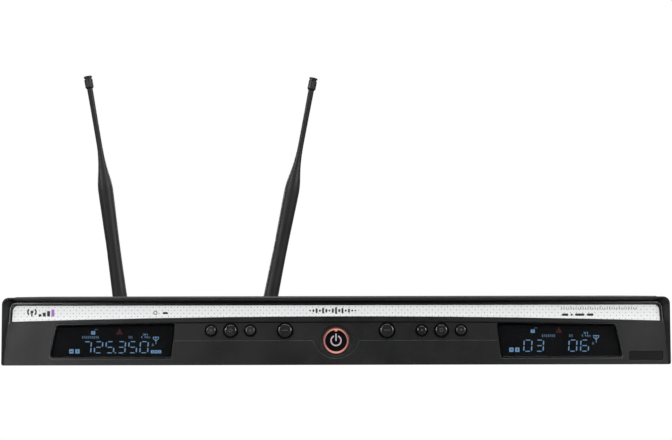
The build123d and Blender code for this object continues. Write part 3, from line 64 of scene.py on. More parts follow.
# ---------------------------------------------------------------- material building blocks
class Surface:
    """A Principled material whose look is worked out by nodes from object coordinates."""

    def __init__(self, name, colour, roughness, metallic=0.0, specular=0.5):
        self.material = bpy.data.materials.new(name)
        self.material.use_nodes = True
        self.tree = self.material.node_tree
        self.tree.nodes.clear()
        self.output = self.tree.nodes.new("ShaderNodeOutputMaterial")
        self.shader = self.tree.nodes.new("ShaderNodeBsdfPrincipled")
        self.tree.links.new(self.shader.outputs["BSDF"], self.output.inputs["Surface"])
        self.set("Base Color", (*colour, 1.0))
        self.set("Roughness", roughness)
        self.set("Metallic", metallic)
        self.set("Specular IOR Level", specular)
        self.coordinates = self.tree.nodes.new("ShaderNodeTexCoord")
        self.height = None

    def set(self, socket, value):
        self.shader.inputs[socket].default_value = value

    def link(self, output, socket):
        self.tree.links.new(output, self.shader.inputs[socket])

    def stretched(self, scale):
        """Object coordinates, stretched."""
        mapping = self.tree.nodes.new("ShaderNodeMapping")
        mapping.inputs["Scale"].default_value = scale
        self.tree.links.new(self.coordinates.outputs["Object"], mapping.inputs["Vector"])
        return mapping.outputs["Vector"]

    def noise(self, scale, detail=3.0, rough=0.5, vector=None):
        """Cloudy pattern from 0 to 1; a larger scale makes it finer."""
        made = self.tree.nodes.new("ShaderNodeTexNoise")
        made.inputs["Scale"].default_value = scale
        made.inputs["Detail"].default_value = detail
        made.inputs["Roughness"].default_value = rough
        self.tree.links.new(vector or self.coordinates.outputs["Object"], made.inputs["Vector"])
        return made.outputs["Fac"]

    def cells(self, scale, feature="F1"):
        """Distance within a pattern of cells."""
        made = self.tree.nodes.new("ShaderNodeTexVoronoi")
        made.feature = feature
        made.inputs["Scale"].default_value = scale
        self.tree.links.new(self.coordinates.outputs["Object"], made.inputs["Vector"])
        return made.outputs["Distance"]

    def band(self, value, low, high, start=0.0, end=1.0):
        """Maps a value from low..high to start..end."""
        made = self.tree.nodes.new("ShaderNodeMapRange")
        made.inputs["From Min"].default_value = low
        made.inputs["From Max"].default_value = high
        made.inputs["To Min"].default_value = start
        made.inputs["To Max"].default_value = end
        self.tree.links.new(value, made.inputs["Value"])
        return made.outputs["Result"]

    def maths(self, operation, first, second=None):
        made = self.tree.nodes.new("ShaderNodeMath")
        made.operation = operation
        for index, value in enumerate((first, second)):
            if value is None:
                continue
            if isinstance(value, (int, float)):
                made.inputs[index].default_value = value
            else:
                self.tree.links.new(value, made.inputs[index])
        return made.outputs["Value"]

    def add(self, *values):
        """Sum of two or more values, taken from the right."""
        if len(values) == 2:
            return self.maths("ADD", *values)
        return self.maths("ADD", values[0], self.add(*values[1:]))

    def times(self, first, second):
        return self.maths("MULTIPLY", first, second)

    def mix(self, share, first, second):
        """Colour between the first and the second."""
        made = self.tree.nodes.new("ShaderNodeMix")
        made.data_type = "RGBA"
        for name, value in (("Factor", share), ("A", first), ("B", second)):
            named = [s for s in made.inputs if s.name == name and s.enabled]
            socket = [s for s in named if s.type == "RGBA" or name == "Factor"][0]
            if isinstance(value, bpy.types.NodeSocket):
                self.tree.links.new(value, socket)
            elif isinstance(value, (int, float)):
                socket.default_value = value
            else:
                socket.default_value = (*value, 1.0)[:4]
        return [s for s in made.outputs if s.type == "RGBA"][0]

    def bump(self, height, distance):
        """Adds a bump of this many metres over the bumps already there."""
        made = self.tree.nodes.new("ShaderNodeBump")
        made.inputs["Strength"].default_value = 1.0
        made.inputs["Distance"].default_value = distance
        self.tree.links.new(height, made.inputs["Height"])
        if self.height is not None:
            self.tree.links.new(self.height, made.inputs["Normal"])
        self.height = made.outputs["Normal"]
        self.link(self.height, "Normal")

    def xyz(self):
        made = self.tree.nodes.new("ShaderNodeSeparateXYZ")
        self.tree.links.new(self.coordinates.outputs["Object"], made.inputs["Vector"])
        return made.outputs["X"], made.outputs["Y"], made.outputs["Z"]


MOTTLING = 0.12


def grained(name, dark, light, roughness, grain=0.35, depth=0.012, specular=0.5, spread=0.08):
    """Moulded plastic or paint: fine grain of a size and depth in mm, slow mottling, uneven gloss."""
    made = Surface(name, dark, roughness, specular=specular)
    slow = made.noise(38.0, 4.0, 0.55)
    fine = made.noise(1000.0 / grain, 2.0, 0.6)
    cells = made.cells(1000.0 / grain * 0.9)
    worn = made.mix(made.band(slow, 0.5 - MOTTLING, 0.5 + MOTTLING), dark, light)
    speck = made.mix(made.band(fine, 0.35, 0.75, 0.0, 0.35), worn, light)
    made.link(speck, "Base Color")
    uneven = made.add(made.band(slow, 0.3, 0.7, -spread, spread), made.band(fine, 0.3, 0.7, -0.03, 0.05))
    made.link(made.add(uneven, roughness), "Roughness")
    made.bump(made.add(fine, made.band(cells, 0.0, 0.8, 0.0, 0.5)), depth * MM)
    return made.material


def plated(name, colour, roughness, turned=False, tarnish=(0.45, 0.4, 0.33)):
    """Plated or bare metal with fine scratches, slight tarnish and uneven gloss."""
    made = Surface(name, colour, roughness, metallic=1.0)
    slow = made.noise(160.0, 5.0, 0.6)
    along = made.stretched((1, 0.06, 1) if turned else (1, 0.15, 0.15))
    scratches = made.noise(5000.0, 3.0, 0.7, vector=along)
    made.link(made.mix(made.band(slow, 0.5, 0.85, 0.0, 0.45), colour, tarnish), "Base Color")
    scratched = made.band(scratches, 0.3, 0.7, -0.06, 0.1)
    made.link(made.add(scratched, made.band(slow, 0.3, 0.7, -0.04, 0.08), roughness), "Roughness")
    made.bump(scratches, 0.003 * MM)
    return made.material


# ---------------------------------------------------------------- materials
# Limits of the painted shade on the display pockets' sloped walls, in mm.
SLANT = 0.125  # how far the pockets' inner sides lean outwards for each mm down
POCKET_INNER, POCKET_OUTER, POCKET_TOP = 107.0, 186.0, 28.0  # the inner one is taken at table height


def bezel_look():
    """Satin black moulding with fine spark-eroded grain and slow mottling, painted shade in its recesses, and
    eased edges painted lighter, partly as wear and partly as a painted highlight.
    """
    made = Surface("bezel_plastic", (0.0038, 0.004, 0.0041), 0.37, specular=0.4)
    slow, fine = made.noise(38.0, 4.0, 0.55), made.noise(3300.0, 2.0, 0.6)
    coarse, cells = made.noise(1250.0, 2.0, 0.7), made.cells(3000.0)
    worn = made.mix(made.band(slow, 0.38, 0.62), (0.0032, 0.0034, 0.0035), (0.0046, 0.0048, 0.0049))
    speckled = made.mix(made.band(coarse, 0.42, 0.72, 0.0, 0.8), worn, (0.0088, 0.0092, 0.0094))

    def between(value, low, low_full, high_full, high):
        """Share that is 1 between two limits in mm, and fades out at both."""
        rising = made.band(value, low * MM, low_full * MM)
        return made.times(rising, made.band(value, high_full * MM, high * MM, 1.0, 0.0))

    # Painted shade: the sloped walls round the displays, all but their inner sides, and the wells and shadow gaps
    # are painted near-black and made glossier.
    x, y, z = made.xyz()
    behind = made.times(made.maths("SUBTRACT", y, FACE_ORIGIN.y), PRESS.y)
    depth = made.add(behind, made.times(z, PRESS.z))
    across = made.maths("ABSOLUTE", x)
    inward = made.add(across, made.times(z, SLANT))
    shaded_slopes = made.band(depth, 0.3 * MM, 0.42 * MM)
    shaded_slopes = made.times(shaded_slopes, made.band(z, POCKET_TOP * MM, (POCKET_TOP + 0.2) * MM, 1.0, 0.0))
    shaded_slopes = made.times(shaded_slopes, made.band(inward, POCKET_INNER * MM, (POCKET_INNER + 0.2) * MM))
    shaded_slopes = made.times(shaded_slopes, made.band(across, POCKET_OUTER * MM, (POCKET_OUTER + 1.0) * MM, 1.0, 0.0))
    black = made.maths("MAXIMUM", shaded_slopes, between(depth, 1.2, 1.45, 3.0, 3.4))
    # Eased edges are painted lighter, partly as rubbed wear and partly as a painted highlight.
    worn_and_highlit_edges = made.mix(between(depth, 0.02, 0.06, 0.26, 0.34), speckled, (0.026, 0.027, 0.027))
    # Painted shade: near-black colour over the recess mask above, mixed over the base colour.
    made.link(made.mix(black, worn_and_highlit_edges, (0.0012, 0.0012, 0.0013)), "Base Color")
    uneven = made.add(made.band(slow, 0.3, 0.7, -0.06, 0.08), made.band(coarse, 0.3, 0.7, -0.05, 0.07))
    matt = made.add(uneven, 0.37)
    made.link(made.add(matt, made.times(black, made.maths("SUBTRACT", 0.2, matt))), "Roughness")
    made.bump(made.add(fine, made.band(cells, 0.0, 0.8, 0.0, 0.5)), 0.01 * MM)
    made.bump(coarse, 0.014 * MM)
    return made.material


DOT_PITCH, DOT_ROW, DOT_START = 1.975 * MM, 0.99 * MM, 1.2 * MM
BIG_DOT, SMALL_DOT = 0.37 * MM, 0.25 * MM


def strip_look():
    """Pale silver paint with a printed grid of dots, every second one smaller and fainter."""
    made = Surface("trim_silver", (0.80, 0.805, 0.81), 0.42, specular=0.5)
    x, y, z = made.xyz()
    rise = made.maths("DIVIDE", z, UP_FACE.z)
    pitch_x, pitch_z = 2 * DOT_PITCH, 4 * DOT_ROW
    far = 400  # enough pitches to keep every distance above zero

    def dots(shift_x, shift_z, radius, soft):
        across = made.maths("PINGPONG", made.add(x, DOT_START + shift_x + pitch_x * far), pitch_x / 2)
        along = made.maths("PINGPONG", made.add(rise, shift_z + pitch_z * far), pitch_z / 2)
        squares = made.add(made.maths("POWER", across, 2.0), made.maths("POWER", along, 2.0))
        return made.band(made.maths("SQRT", squares), radius - soft, radius + soft, 1.0, 0.0)

    big = made.maths(
        "MAXIMUM",
        dots(0.0, 0.0, BIG_DOT, 0.08 * MM),
        dots(DOT_PITCH, 2 * DOT_ROW, BIG_DOT, 0.08 * MM),
    )
    small = made.maths(
        "MAXIMUM",
        dots(DOT_PITCH, 0.0, SMALL_DOT, 0.07 * MM),
        dots(0.0, 2 * DOT_ROW, SMALL_DOT, 0.07 * MM),
    )
    flakes = made.cells(5200.0)
    slow = made.noise(60.0, 3.0)
    paint = made.mix(made.band(slow, 0.3, 0.7, 0.0, 0.5), (0.805, 0.811, 0.815), (0.84, 0.843, 0.841))
    paint = made.mix(made.band(flakes, 0.0, 0.7, 0.12, 0.0), paint, (0.905, 0.905, 0.915))
    spotted = made.mix(made.times(small, 0.36), paint, (0.33, 0.34, 0.35))
    spotted = made.mix(made.times(big, 0.72), spotted, (0.25, 0.26, 0.27))
    made.link(spotted, "Base Color")
    made.link(made.add(made.band(slow, 0.3, 0.7, 0.36, 0.46), made.times(big, 0.15)), "Roughness")
    made.bump(made.add(made.times(big, -1.0), made.band(flakes, 0.0, 0.7, 0.0, 0.3)), 0.02 * MM)
    return made.material


def powder_coat(name, dark, light):
    """Powder-coated steel: a pebbled skin with soft dull highlights."""
    made = Surface(name, dark, 0.55, specular=0.45)
    pebbles = made.noise(1500.0, 3.0, 0.62)
    broad = made.noise(420.0, 2.0, 0.5)
    slow = made.noise(14.0, 4.0, 0.6)
    made.link(made.mix(made.band(slow, 0.35, 0.65), dark, light), "Base Color")
    gloss = made.add(made.band(slow, 0.3, 0.7, 0.48, 0.6), made.band(pebbles, 0.3, 0.7, -0.05, 0.08))
    made.link(gloss, "Roughness")
    made.bump(made.add(pebbles, made.times(broad, 0.6)), 0.035 * MM)
    return made.material


def window_look():
    """Smoke-tinted clear moulding: dark, see-through, with a hard smooth skin."""
    made = Surface("display_window", (0.006, 0.0065, 0.0075), 0.06, specular=0.16)
    ripple = made.noise(45.0, 2.0)
    made.link(made.band(ripple, 0.3, 0.7, 0.06, 0.1), "Roughness")
    tint = made.mix(made.band(ripple, 0.3, 0.7), (0.005, 0.0055, 0.0065), (0.009, 0.0095, 0.0105))
    made.link(tint, "Base Color")
    made.bump(ripple, 0.01 * MM)
    made.set("Alpha", 0.42)
    return made.material


def scaled(colour, factor):
    return tuple(factor * part for part in colour)


def frosted(name, body):
    """Frosted moulding to be lit from behind; returns it with its frost."""
    made = Surface(name, body, 0.35)
    frost = made.noise(900.0, 3.0, 0.6)
    made.link(made.mix(made.band(frost, 0.3, 0.7), body, scaled(body, 1.25)), "Base Color")
    made.set("Emission Strength", 1.0)
    made.bump(frost, 0.006 * MM)
    return made, frost


def symbol_look():
    """Evenly lit mark."""
    made, frost = frosted("symbol_glow", (0.10, 0.085, 0.09))
    light = (0.36, 0.29, 0.32)
    made.link(made.mix(made.band(frost, 0.3, 0.7, 0.0, 0.25), light, scaled(light, 0.8)), "Emission Color")
    return made.material


def ring_look():
    """Ring over two lamps, above and below, with dimmer flanks and a dull red rim."""
    made, _ = frosted("ring_glow", (0.10, 0.04, 0.035))
    low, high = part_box("power_ring")
    radius = 8.3 * MM
    x, y, z = made.xyz()
    up = made.maths("DIVIDE", made.maths("SUBTRACT", z, (low.z + high.z) / 2), UP_FACE.z)
    squares = made.add(made.maths("POWER", x, 2.0), made.maths("POWER", up, 2.0))
    steep = made.band(made.maths("ABSOLUTE", up), 0.3 * radius, 0.95 * radius)
    edge = made.maths("SUBTRACT", made.maths("SQRT", squares), made.times(steep, 0.045 * radius))
    lit = made.mix(steep, (0.34, 0.13, 0.135), (0.74, 0.30, 0.22))
    rim = made.band(edge, 0.89 * radius, 0.935 * radius)
    made.link(made.mix(rim, lit, (0.10, 0.012, 0.012)), "Emission Color")
    return made.material


def lit_segment(name, colour, strength):
    """Liquid crystal segment lit from behind, slightly uneven."""
    made = Surface(name, scaled(colour, 0.2), 0.4)
    grid = made.noise(700.0, 2.0)
    made.link(made.mix(made.band(grid, 0.3, 0.7, 0.0, 0.6), colour, scaled(colour, 0.7)), "Emission Color")
    made.set("Emission Strength", strength)
    return made.material


def rubber_look(name, dark, light, roughness, grain):
    """Soft-touch rubber with fine grain, faint dust and a weak sheen."""
    made = Surface(name, dark, roughness, specular=0.3)
    slow = made.noise(90.0, 5.0, 0.6)
    fine = made.noise(1000.0 / grain, 3.0, 0.65)
    dust = made.noise(340.0, 6.0, 0.75)
    shade = made.mix(made.band(slow, 0.35, 0.7), dark, light)
    made.link(made.mix(made.band(dust, 0.58, 0.8, 0.0, 0.3), shade, scaled(light, 2.2)), "Base Color")
    uneven = made.add(made.band(fine, 0.3, 0.7, -0.04, 0.06), roughness)
    made.link(made.add(made.band(slow, 0.3, 0.7, -0.06, 0.08), uneven), "Roughness")
    made.set("Sheen Weight", 0.05)
    made.set("Sheen Roughness", 0.4)
    made.bump(fine, 0.018 * MM)
    return made.material


def board_look():
    """Green solder resist over coarse and fine tracks."""
    made = Surface("circuit_board", (0.01, 0.09, 0.035), 0.35, specular=0.5)
    tracks = made.band(made.cells(190.0, "DISTANCE_TO_EDGE"), 0.03, 0.05, 1.0, 0.0)
    fine = made.band(made.cells(520.0, "DISTANCE_TO_EDGE"), 0.03, 0.05, 0.6, 0.0)
    lines = made.maths("MAXIMUM", tracks, fine)
    made.link(made.mix(lines, (0.008, 0.075, 0.03), (0.02, 0.16, 0.06)), "Base Color")
    made.link(made.band(made.noise(300.0, 3.0), 0.3, 0.7, 0.28, 0.42), "Roughness")
    made.bump(lines, 0.03 * MM)
    return made.material


STRAND = 0.635 * MM


def cable_look():
    """Flat cable: many fine strands side by side, the edge strand red."""
    made = Surface("cable_grey", (0.32, 0.33, 0.35), 0.5)
    x, y, z = made.xyz()
    strand = made.maths("PINGPONG", made.add(x, 1.0), STRAND)
    edge = made.band(x, -0.0122, -0.0118, 1.0, 0.0)
    shade = made.mix(made.band(strand, 0.0, STRAND), (0.2, 0.205, 0.215), (0.36, 0.37, 0.39))
    made.link(made.mix(edge, shade, (0.35, 0.03, 0.03)), "Base Color")
    made.link(made.band(made.noise(500.0, 3.0), 0.3, 0.7, 0.42, 0.58), "Roughness")
    made.bump(made.band(strand, 0.0, STRAND), 0.2 * MM)
    return made.material


SOFT_BLACK, SATIN_BLACK = (0.014, 0.014, 0.015), (0.022, 0.022, 0.023)
DEEP_BLACK, DULL_BLACK = (0.012, 0.012, 0.013), (0.02, 0.02, 0.021)

LOOKS = {
    "case_paint": powder_coat("case_paint", (0.0165, 0.017, 0.0175), (0.023, 0.0235, 0.024)),
    "bezel_plastic": bezel_look(),
    "trim_silver": strip_look(),
    "ir_plastic": grained(
        "ir_plastic", (0.004, 0.003, 0.0045), (0.008, 0.006, 0.008), 0.12, grain=0.8, depth=0.002
    ),
    "plate_plastic": grained(
        "plate_plastic", (0.0042, 0.0043, 0.0044), (0.006, 0.0061, 0.0062), 0.55, grain=0.6, specular=0.18
    ),
    "display_window": window_look(),
    "lcd_glass": grained(
        "lcd_glass",
        (0.015, 0.0158, 0.0152),
        (0.0185, 0.0193, 0.0187),
        0.06,
        grain=2.0,
        depth=0.0,
        specular=0.1,
        spread=0.01,
    ),
    "backlight_plastic": grained("backlight_plastic", (0.62, 0.63, 0.63), (0.74, 0.75, 0.75), 0.5),
    "ring_glow": ring_look(),
    "circuit_board": board_look(),
    "switch_plastic": grained("switch_plastic", SOFT_BLACK, SATIN_BLACK, 0.5),
    "tinned_steel": plated("tinned_steel", (0.6, 0.61, 0.6), 0.3),
    "chip_resin": grained("chip_resin", DEEP_BLACK, DULL_BLACK, 0.6, grain=0.2),
    "capacitor_sleeve": grained(
        "capacitor_sleeve", (0.008, 0.012, 0.05), (0.012, 0.018, 0.07), 0.25, grain=0.9
    ),
    "brass": plated("brass", (0.72, 0.52, 0.22), 0.25, turned=True, tarnish=(0.4, 0.26, 0.1)),
    "screw_steel": plated("screw_steel", (0.55, 0.56, 0.58), 0.28, turned=True),
    "black_screw": grained("black_screw", SOFT_BLACK, (0.03, 0.03, 0.031), 0.38, grain=0.25, specular=0.6),
    "foot_rubber": rubber_look("foot_rubber", (0.012, 0.012, 0.012), (0.02, 0.02, 0.02), 0.8, 0.5),
    "cable_grey": cable_look(),
    "nickel": plated("nickel", (0.64, 0.61, 0.56), 0.2, turned=True),
    "white_insulator": grained("white_insulator", (0.72, 0.72, 0.69), (0.8, 0.8, 0.77), 0.4),
    "lead_sheath": rubber_look("lead_sheath", DEEP_BLACK, DULL_BLACK, 0.5, 0.4),
    "connector_metal": grained(
        "connector_metal", DULL_BLACK, (0.035, 0.035, 0.036), 0.3, grain=0.3, specular=0.7
    ),
    "contact_gold": plated("contact_gold", (0.83, 0.6, 0.24), 0.16, turned=True, tarnish=(0.6, 0.42, 0.18)),
    "connector_plastic": grained("connector_plastic", DEEP_BLACK, (0.019, 0.019, 0.02), 0.35, grain=0.4),
    "button_plastic": grained(
        "button_plastic", (0.0022, 0.0023, 0.0025), (0.004, 0.0041, 0.0044), 0.27, depth=0.004, specular=0.85
    ),
    "power_plastic": grained(
        "power_plastic",
        (0.0018, 0.0018, 0.0021),
        (0.0032, 0.0032, 0.0036),
        0.22,
        grain=0.4,
        depth=0.003,
        specular=0.22,
    ),
    "symbol_glow": symbol_look(),
    "knuckle_plastic": grained("knuckle_plastic", SOFT_BLACK, (0.021, 0.021, 0.022), 0.42),
    "whip_rubber": rubber_look("whip_rubber", (0.0058, 0.006, 0.0064), (0.009, 0.0092, 0.0098), 0.5, 0.35),
    "tip_plastic": grained(
        "tip_plastic", (0.009, 0.009, 0.0095), (0.014, 0.014, 0.0145), 0.45, grain=0.3, specular=0.35
    ),
}
SLOT_OF = {part["node"]: part["material_slot"] for part in frame["record"]["subparts"]}
for node, obj in NODES.items():
    obj.data.materials.clear()
    obj.data.materials.append(LOOKS[SLOT_OF[node]])


# ---------------------------------------------------------------- thin printed and lit shapes
def prism(name, outlines, depth, thickness, look, body="body"):
    """Flat shapes parallel to the leaning face, from outlines in mm, standing from a depth forward."""
    mesh = bmesh.new()
    for outline in outlines:
        back = [mesh.verts.new(on_face(x, h, depth)) for x, h in outline]
        front = [mesh.verts.new(on_face(x, h, depth - thickness)) for x, h in outline]
        count = len(outline)
        mesh.faces.new(front)
        mesh.faces.new(list(reversed(back)))
        for i in range(count):
            j = (i + 1) % count
            mesh.faces.new((back[i], back[j], front[j], front[i]))
    bmesh.ops.recalc_face_normals(mesh, faces=mesh.faces)
    data = bpy.data.meshes.new(name)
    mesh.to_mesh(data)
    mesh.free()
    obj = bpy.data.objects.new(name, data)
    scene.collection.objects.link(obj)
    data.materials.append(look)
    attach(obj, body)


def bar(x0, h0, x1, h1, lean=0.0):
    """Upright box outline, leaning to the right as it rises."""
    shift = lean * (h1 - h0)
    return [(x0, h0), (x1, h0), (x1 + shift, h1), (x0 + shift, h1)]


def round_bar(x0, h0, x1, h1, steps=5):
    """Lying or upright bar with round ends."""
    width, height = x1 - x0, h1 - h0
    radius = min(width, height) / 2
    if width >= height:
        centres = [(x1 - radius, (h0 + h1) / 2, -90), (x0 + radius, (h0 + h1) / 2, 90)]
    else:
        centres = [((x0 + x1) / 2, h1 - radius, 0), ((x0 + x1) / 2, h0 + radius, 180)]
    points = []
    for cx, ch, start in centres:
        for step in range(steps + 1):
            angle = math.radians(start + 180 * step / steps)
            points.append((cx + radius * math.cos(angle), ch + radius * math.sin(angle)))
    return points


def arc(cx, ch, radius, width, start, end, steps=12):
    """Stroke along part of a circle."""
    angles = [math.radians(start + (end - start) * i / steps) for i in range(steps + 1)]
    far, near = radius + width / 2, radius - width / 2
    outer = [(cx + far * math.cos(a), ch + far * math.sin(a)) for a in angles]
    inner = [(cx + near * math.cos(a), ch + near * math.sin(a)) for a in angles]
    return outer + inner[::-1]


def disc(cx, ch, radius, steps=20):
    angles = [math.tau * i / steps for i in range(steps)]
    return [(cx + radius * math.cos(a), ch + radius * math.sin(a)) for a in angles]


def stroke(start, end, width):
    """Straight stroke between two points."""
    start, end = Vector(start), Vector(end)
    along = end - start
    side = Vector((-along.y, along.x)).normalized() * width / 2
    return [tuple(corner) for corner in (start - side, end - side, end + side, start + side)]


def ring_outlines(cx, ch, radius, width, steps=24):
    """Full circle stroke as two halves."""
    return [arc(cx, ch, radius, width, start, start + 180, steps // 2) for start in (0, 180)]


# Strokes of a seven-segment digit that are lit, named clockwise from the top, then the middle.
LIT = {"0": "abcdef", "2": "abged", "3": "abgcd", "5": "afgcd", "6": "afgedc", "7": "abc"}


def digit(character, x, h, width, height, thick, lean):
    """Lit segments of a digit whose lower left corner is at x, h."""
    half, gap, slope = thick / 2, 0.35 * thick, thick / 2

    def flat(h_mid):
        left, right, thin = x + 1.75 * thick, x + width - 1.75 * thick, 0.38 * thick
        points = [(left, h_mid), (left + thin, h_mid + thin), (right - thin, h_mid + thin)]
        return points + [(right, h_mid), (right - thin, h_mid - thin), (left + thin, h_mid - thin)]

    def upright(x_mid, low, high):
        low, high = low + gap, high - gap
        right_side = [(x_mid, low), (x_mid + half, low + slope), (x_mid + half, high - slope)]
        return right_side + [(x_mid, high), (x_mid - half, high - slope), (x_mid - half, low + slope)]

    left, right = x + half, x + width - half
    low, middle, high = h + half, h + height / 2, h + height - half
    shapes = {
        "a": flat(high),
        "b": upright(right, middle, high),
        "c": upright(right, low, middle),
        "d": flat(low),
        "e": upright(left, low, middle),
        "f": upright(left, middle, high),
        "g": flat(middle),
    }
    return [[(px + lean * (ph - h), ph) for px, ph in shapes[s]] for s in LIT[character]]


# ---------------------------------------------------------------- display contents
SEGMENT = lit_segment("lcd_segment", (0.215, 0.415, 0.68), 1.9)
SEGMENT_DIM = lit_segment("lcd_segment_dim", (0.16, 0.27, 0.43), 1.1)
SEGMENT_RED = lit_segment("lcd_segment_red", (0.26, 0.05, 0.06), 0.42)
LCD_DEPTH, LCD_THICKNESS = 4.48, 0.05
LCD_SINK = LCD_DEPTH * -PRESS.z  # how much lower a point behind the face is than the one on it


def tick_row(x0, x1, h0, h1, count):
    """Row of small upright ticks that stands for a word."""
    share = 0.62  # of each pitch
    pitch = (x1 - x0) / count
    feet = [h0 + (0.25 if i % 3 == 1 else 0.0) for i in range(count)]
    return [bar(x0 + i * pitch, foot, x0 + (i + share) * pitch, h1) for i, foot in enumerate(feet)]


def padlock(x, h, size):
    """Open padlock: the pieces of a body with a slot in it, and of a shackle swung aside."""
    body = size * 0.5
    hole = size * 0.1
    outlines = [
        bar(x, h, x + body, h + hole * 1.6),
        bar(x, h + body * 0.8 - hole, x + body, h + body * 0.8),
        bar(x, h + hole * 1.6, x + body * 0.38, h + body * 0.8 - hole),
        bar(x + body * 0.62, h + hole * 1.6, x + body, h + body * 0.8 - hole),
    ]
    bow = arc(x + body * 1.25, h + body * 0.95, body * 0.36, 0.4, 20, 180, 8)
    leg = stroke((x + body * 0.89, h + body * 0.8), (x + body * 0.89, h + body * 0.96), 0.3)
    return outlines, [bow, leg]


def mast(x, h, width, height):
    """Reception mark: a cup on a mast."""
    line = 0.42
    top, middle = h + height, x + width / 2
    shoulder, cup = top - height * 0.25, h + height * 0.42
    left, right = x + line / 2, x + width - line / 2
    return [
        bar(x, top - line, x + width, top),
        stroke((left, top), (left, shoulder), line),
        stroke((right, top), (right, shoulder), line),
        stroke((left, shoulder), (middle, cup), line),
        stroke((right, shoulder), (middle, cup), line),
        stroke((middle, top), (middle, h), line),
    ]


def framed_square(x, h, size, upright):
    """Solid square with a dark bar left out in the middle."""
    rim, slot_half = size * 0.24, size * 0.09
    mid_x, mid_h = x + size / 2, h + size / 2
    right, top = x + size, h + size
    outlines = [bar(x, h, right, h + rim), bar(x, top - rim, right, top)]
    if upright:
        outlines.append(bar(x, h + rim, mid_x - slot_half, top - rim))
        outlines.append(bar(mid_x + slot_half, h + rim, right, top - rim))
    else:
        outlines += [bar(x, h + rim, x + rim, top - rim), bar(right - rim, h + rim, right, top - rim)]
        outlines.append(bar(x + rim, mid_h + slot_half, right - rim, top - rim))
        outlines.append(bar(x + rim, h + rim, right - rim, mid_h - slot_half))
    return outlines


DIGIT_WIDTH, DIGIT_HEIGHT, DIGIT_STROKE, DIGIT_LEAN = 5.75, 7.9, 0.74, 0.06
DIGIT_START, DIGIT_PITCH = -20.0, 7.34  # of the long number
POINT_SIZE, SQUARE_SIZE, LOCK_SIZE = 0.8, 2.75, 5.2
WORD_HEIGHT, ALARM_HEIGHT = 1.75, 3.9
LEVEL_WIDTH, LEVEL_HEIGHT, LEVEL_STROKE, LEVEL_PITCH = 1.7, 3.6, 0.4, 2.1
MAST_FOOT, MAST_WIDTH, MAST_HEIGHT = -1.6, 3.8, 4.7
MARK_FOOT, MARK_WIDTH, MARK_HEIGHT = -2.8, 1.7, 1.9
# Places in each display, in mm across from the middle of its glass; words carry their number of ticks.
DISPLAYS = {
    "left": {
        "drop": 0.35,
        "digits": [(DIGIT_START + DIGIT_PITCH * i, c) for i, c in enumerate("725350")],
        "point": DIGIT_START + DIGIT_PITCH * 3 - 1.05,
        "unit": (24.2, 31.2),
        "squares": (-28.4, -24.5),
        "word": (-20.2, -9.0, 9),
        "lock": -14.4,
        "alarm": (1.5, 6.2),
        "short_word": (9.8, 12.5, 3),
        "level": 18.0,
        "mast": 25.5,
        "mark": 24.6,
    },
    "right": {
        "drop": -0.1,
        "digits": [(-23.0, "0"), (-15.5, "3"), (6.0, "0"), (13.6, "6")],
        "point": None,
        "unit": None,
        "squares": (-31.9, -28.1),
        "word": (-10.8, -1.9, 7),
        "lock": -17.9,
        "alarm": (-1.9, 2.4),
        "short_word": (6.7, 9.4, 3),
        "level": 15.0,
        "mast": 22.3,
        "mark": 21.3,
    },
}
ROW_DIGITS, ROW_WORDS, ROW_ICONS = -7.5, 1.95, 4.7

for side, plan in DISPLAYS.items():
    low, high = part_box(f"{side}_lcd_glass")
    mid_x = (low.x + high.x) / 2 / MM
    mid_h = (low.z + high.z) / 2 / MM + LCD_SINK - plan["drop"]

    def placed(outlines):
        return [[(mid_x + x, mid_h + h) for x, h in outline] for outline in outlines]

    bright, faint = [], []
    for x, character in plan["digits"]:
        bright += digit(character, x, ROW_DIGITS, DIGIT_WIDTH, DIGIT_HEIGHT, DIGIT_STROKE, DIGIT_LEAN)
    if plan["point"] is not None:
        bright.append(bar(plan["point"], ROW_DIGITS, plan["point"] + POINT_SIZE, ROW_DIGITS + POINT_SIZE))
    if plan["unit"]:
        x0, x1 = plan["unit"]
        third = (x1 - x0) / 3
        for i in range(3):
            bright += framed_square(x0 + i * third, ROW_DIGITS, third * 0.86, i % 2 == 0)
    for i, x in enumerate(plan["squares"]):
        bright += framed_square(x, ROW_DIGITS, SQUARE_SIZE, i == 1)
    for x0, x1, count in (plan["word"], plan["short_word"]):
        faint += tick_row(x0, x1, ROW_WORDS, ROW_WORDS + WORD_HEIGHT, count)
    solid, shackle = padlock(plan["lock"], ROW_ICONS, LOCK_SIZE)
    bright += solid
    faint += shackle
    x0, x1 = plan["alarm"]
    alarm = [(x0, ROW_ICONS), (x1, ROW_ICONS), ((x0 + x1) / 2, ROW_ICONS + ALARM_HEIGHT)]
    x = plan["level"]
    for i, character in enumerate("20"):
        left = x + i * LEVEL_PITCH
        bright += digit(character, left, ROW_WORDS, LEVEL_WIDTH, LEVEL_HEIGHT, LEVEL_STROKE, DIGIT_LEAN)
    faint += tick_row(x + 4.2, x + 6.0, ROW_WORDS, ROW_WORDS + 1.3, 2)
    bright += mast(plan["mast"], MAST_FOOT, MAST_WIDTH, MAST_HEIGHT)
    x, half = plan["mark"], MARK_WIDTH / 2
    faint.append([(x, MARK_FOOT), (x + MARK_WIDTH, MARK_FOOT), (x + half, MARK_FOOT + MARK_HEIGHT)])
    for label, outlines, look in (
        ("segments", bright, SEGMENT),
        ("small_marks", faint, SEGMENT_DIM),
        ("alarm_mark", [alarm], SEGMENT_RED),
    ):
        prism(f"{side}_display_{label}", placed(outlines), LCD_DEPTH, LCD_THICKNESS, look)


# ---------------------------------------------------------------- prints on the strip
def ink(name, dark, light, roughness=0.5):
    return grained(name, dark, light, roughness, grain=0.3, depth=0.004)


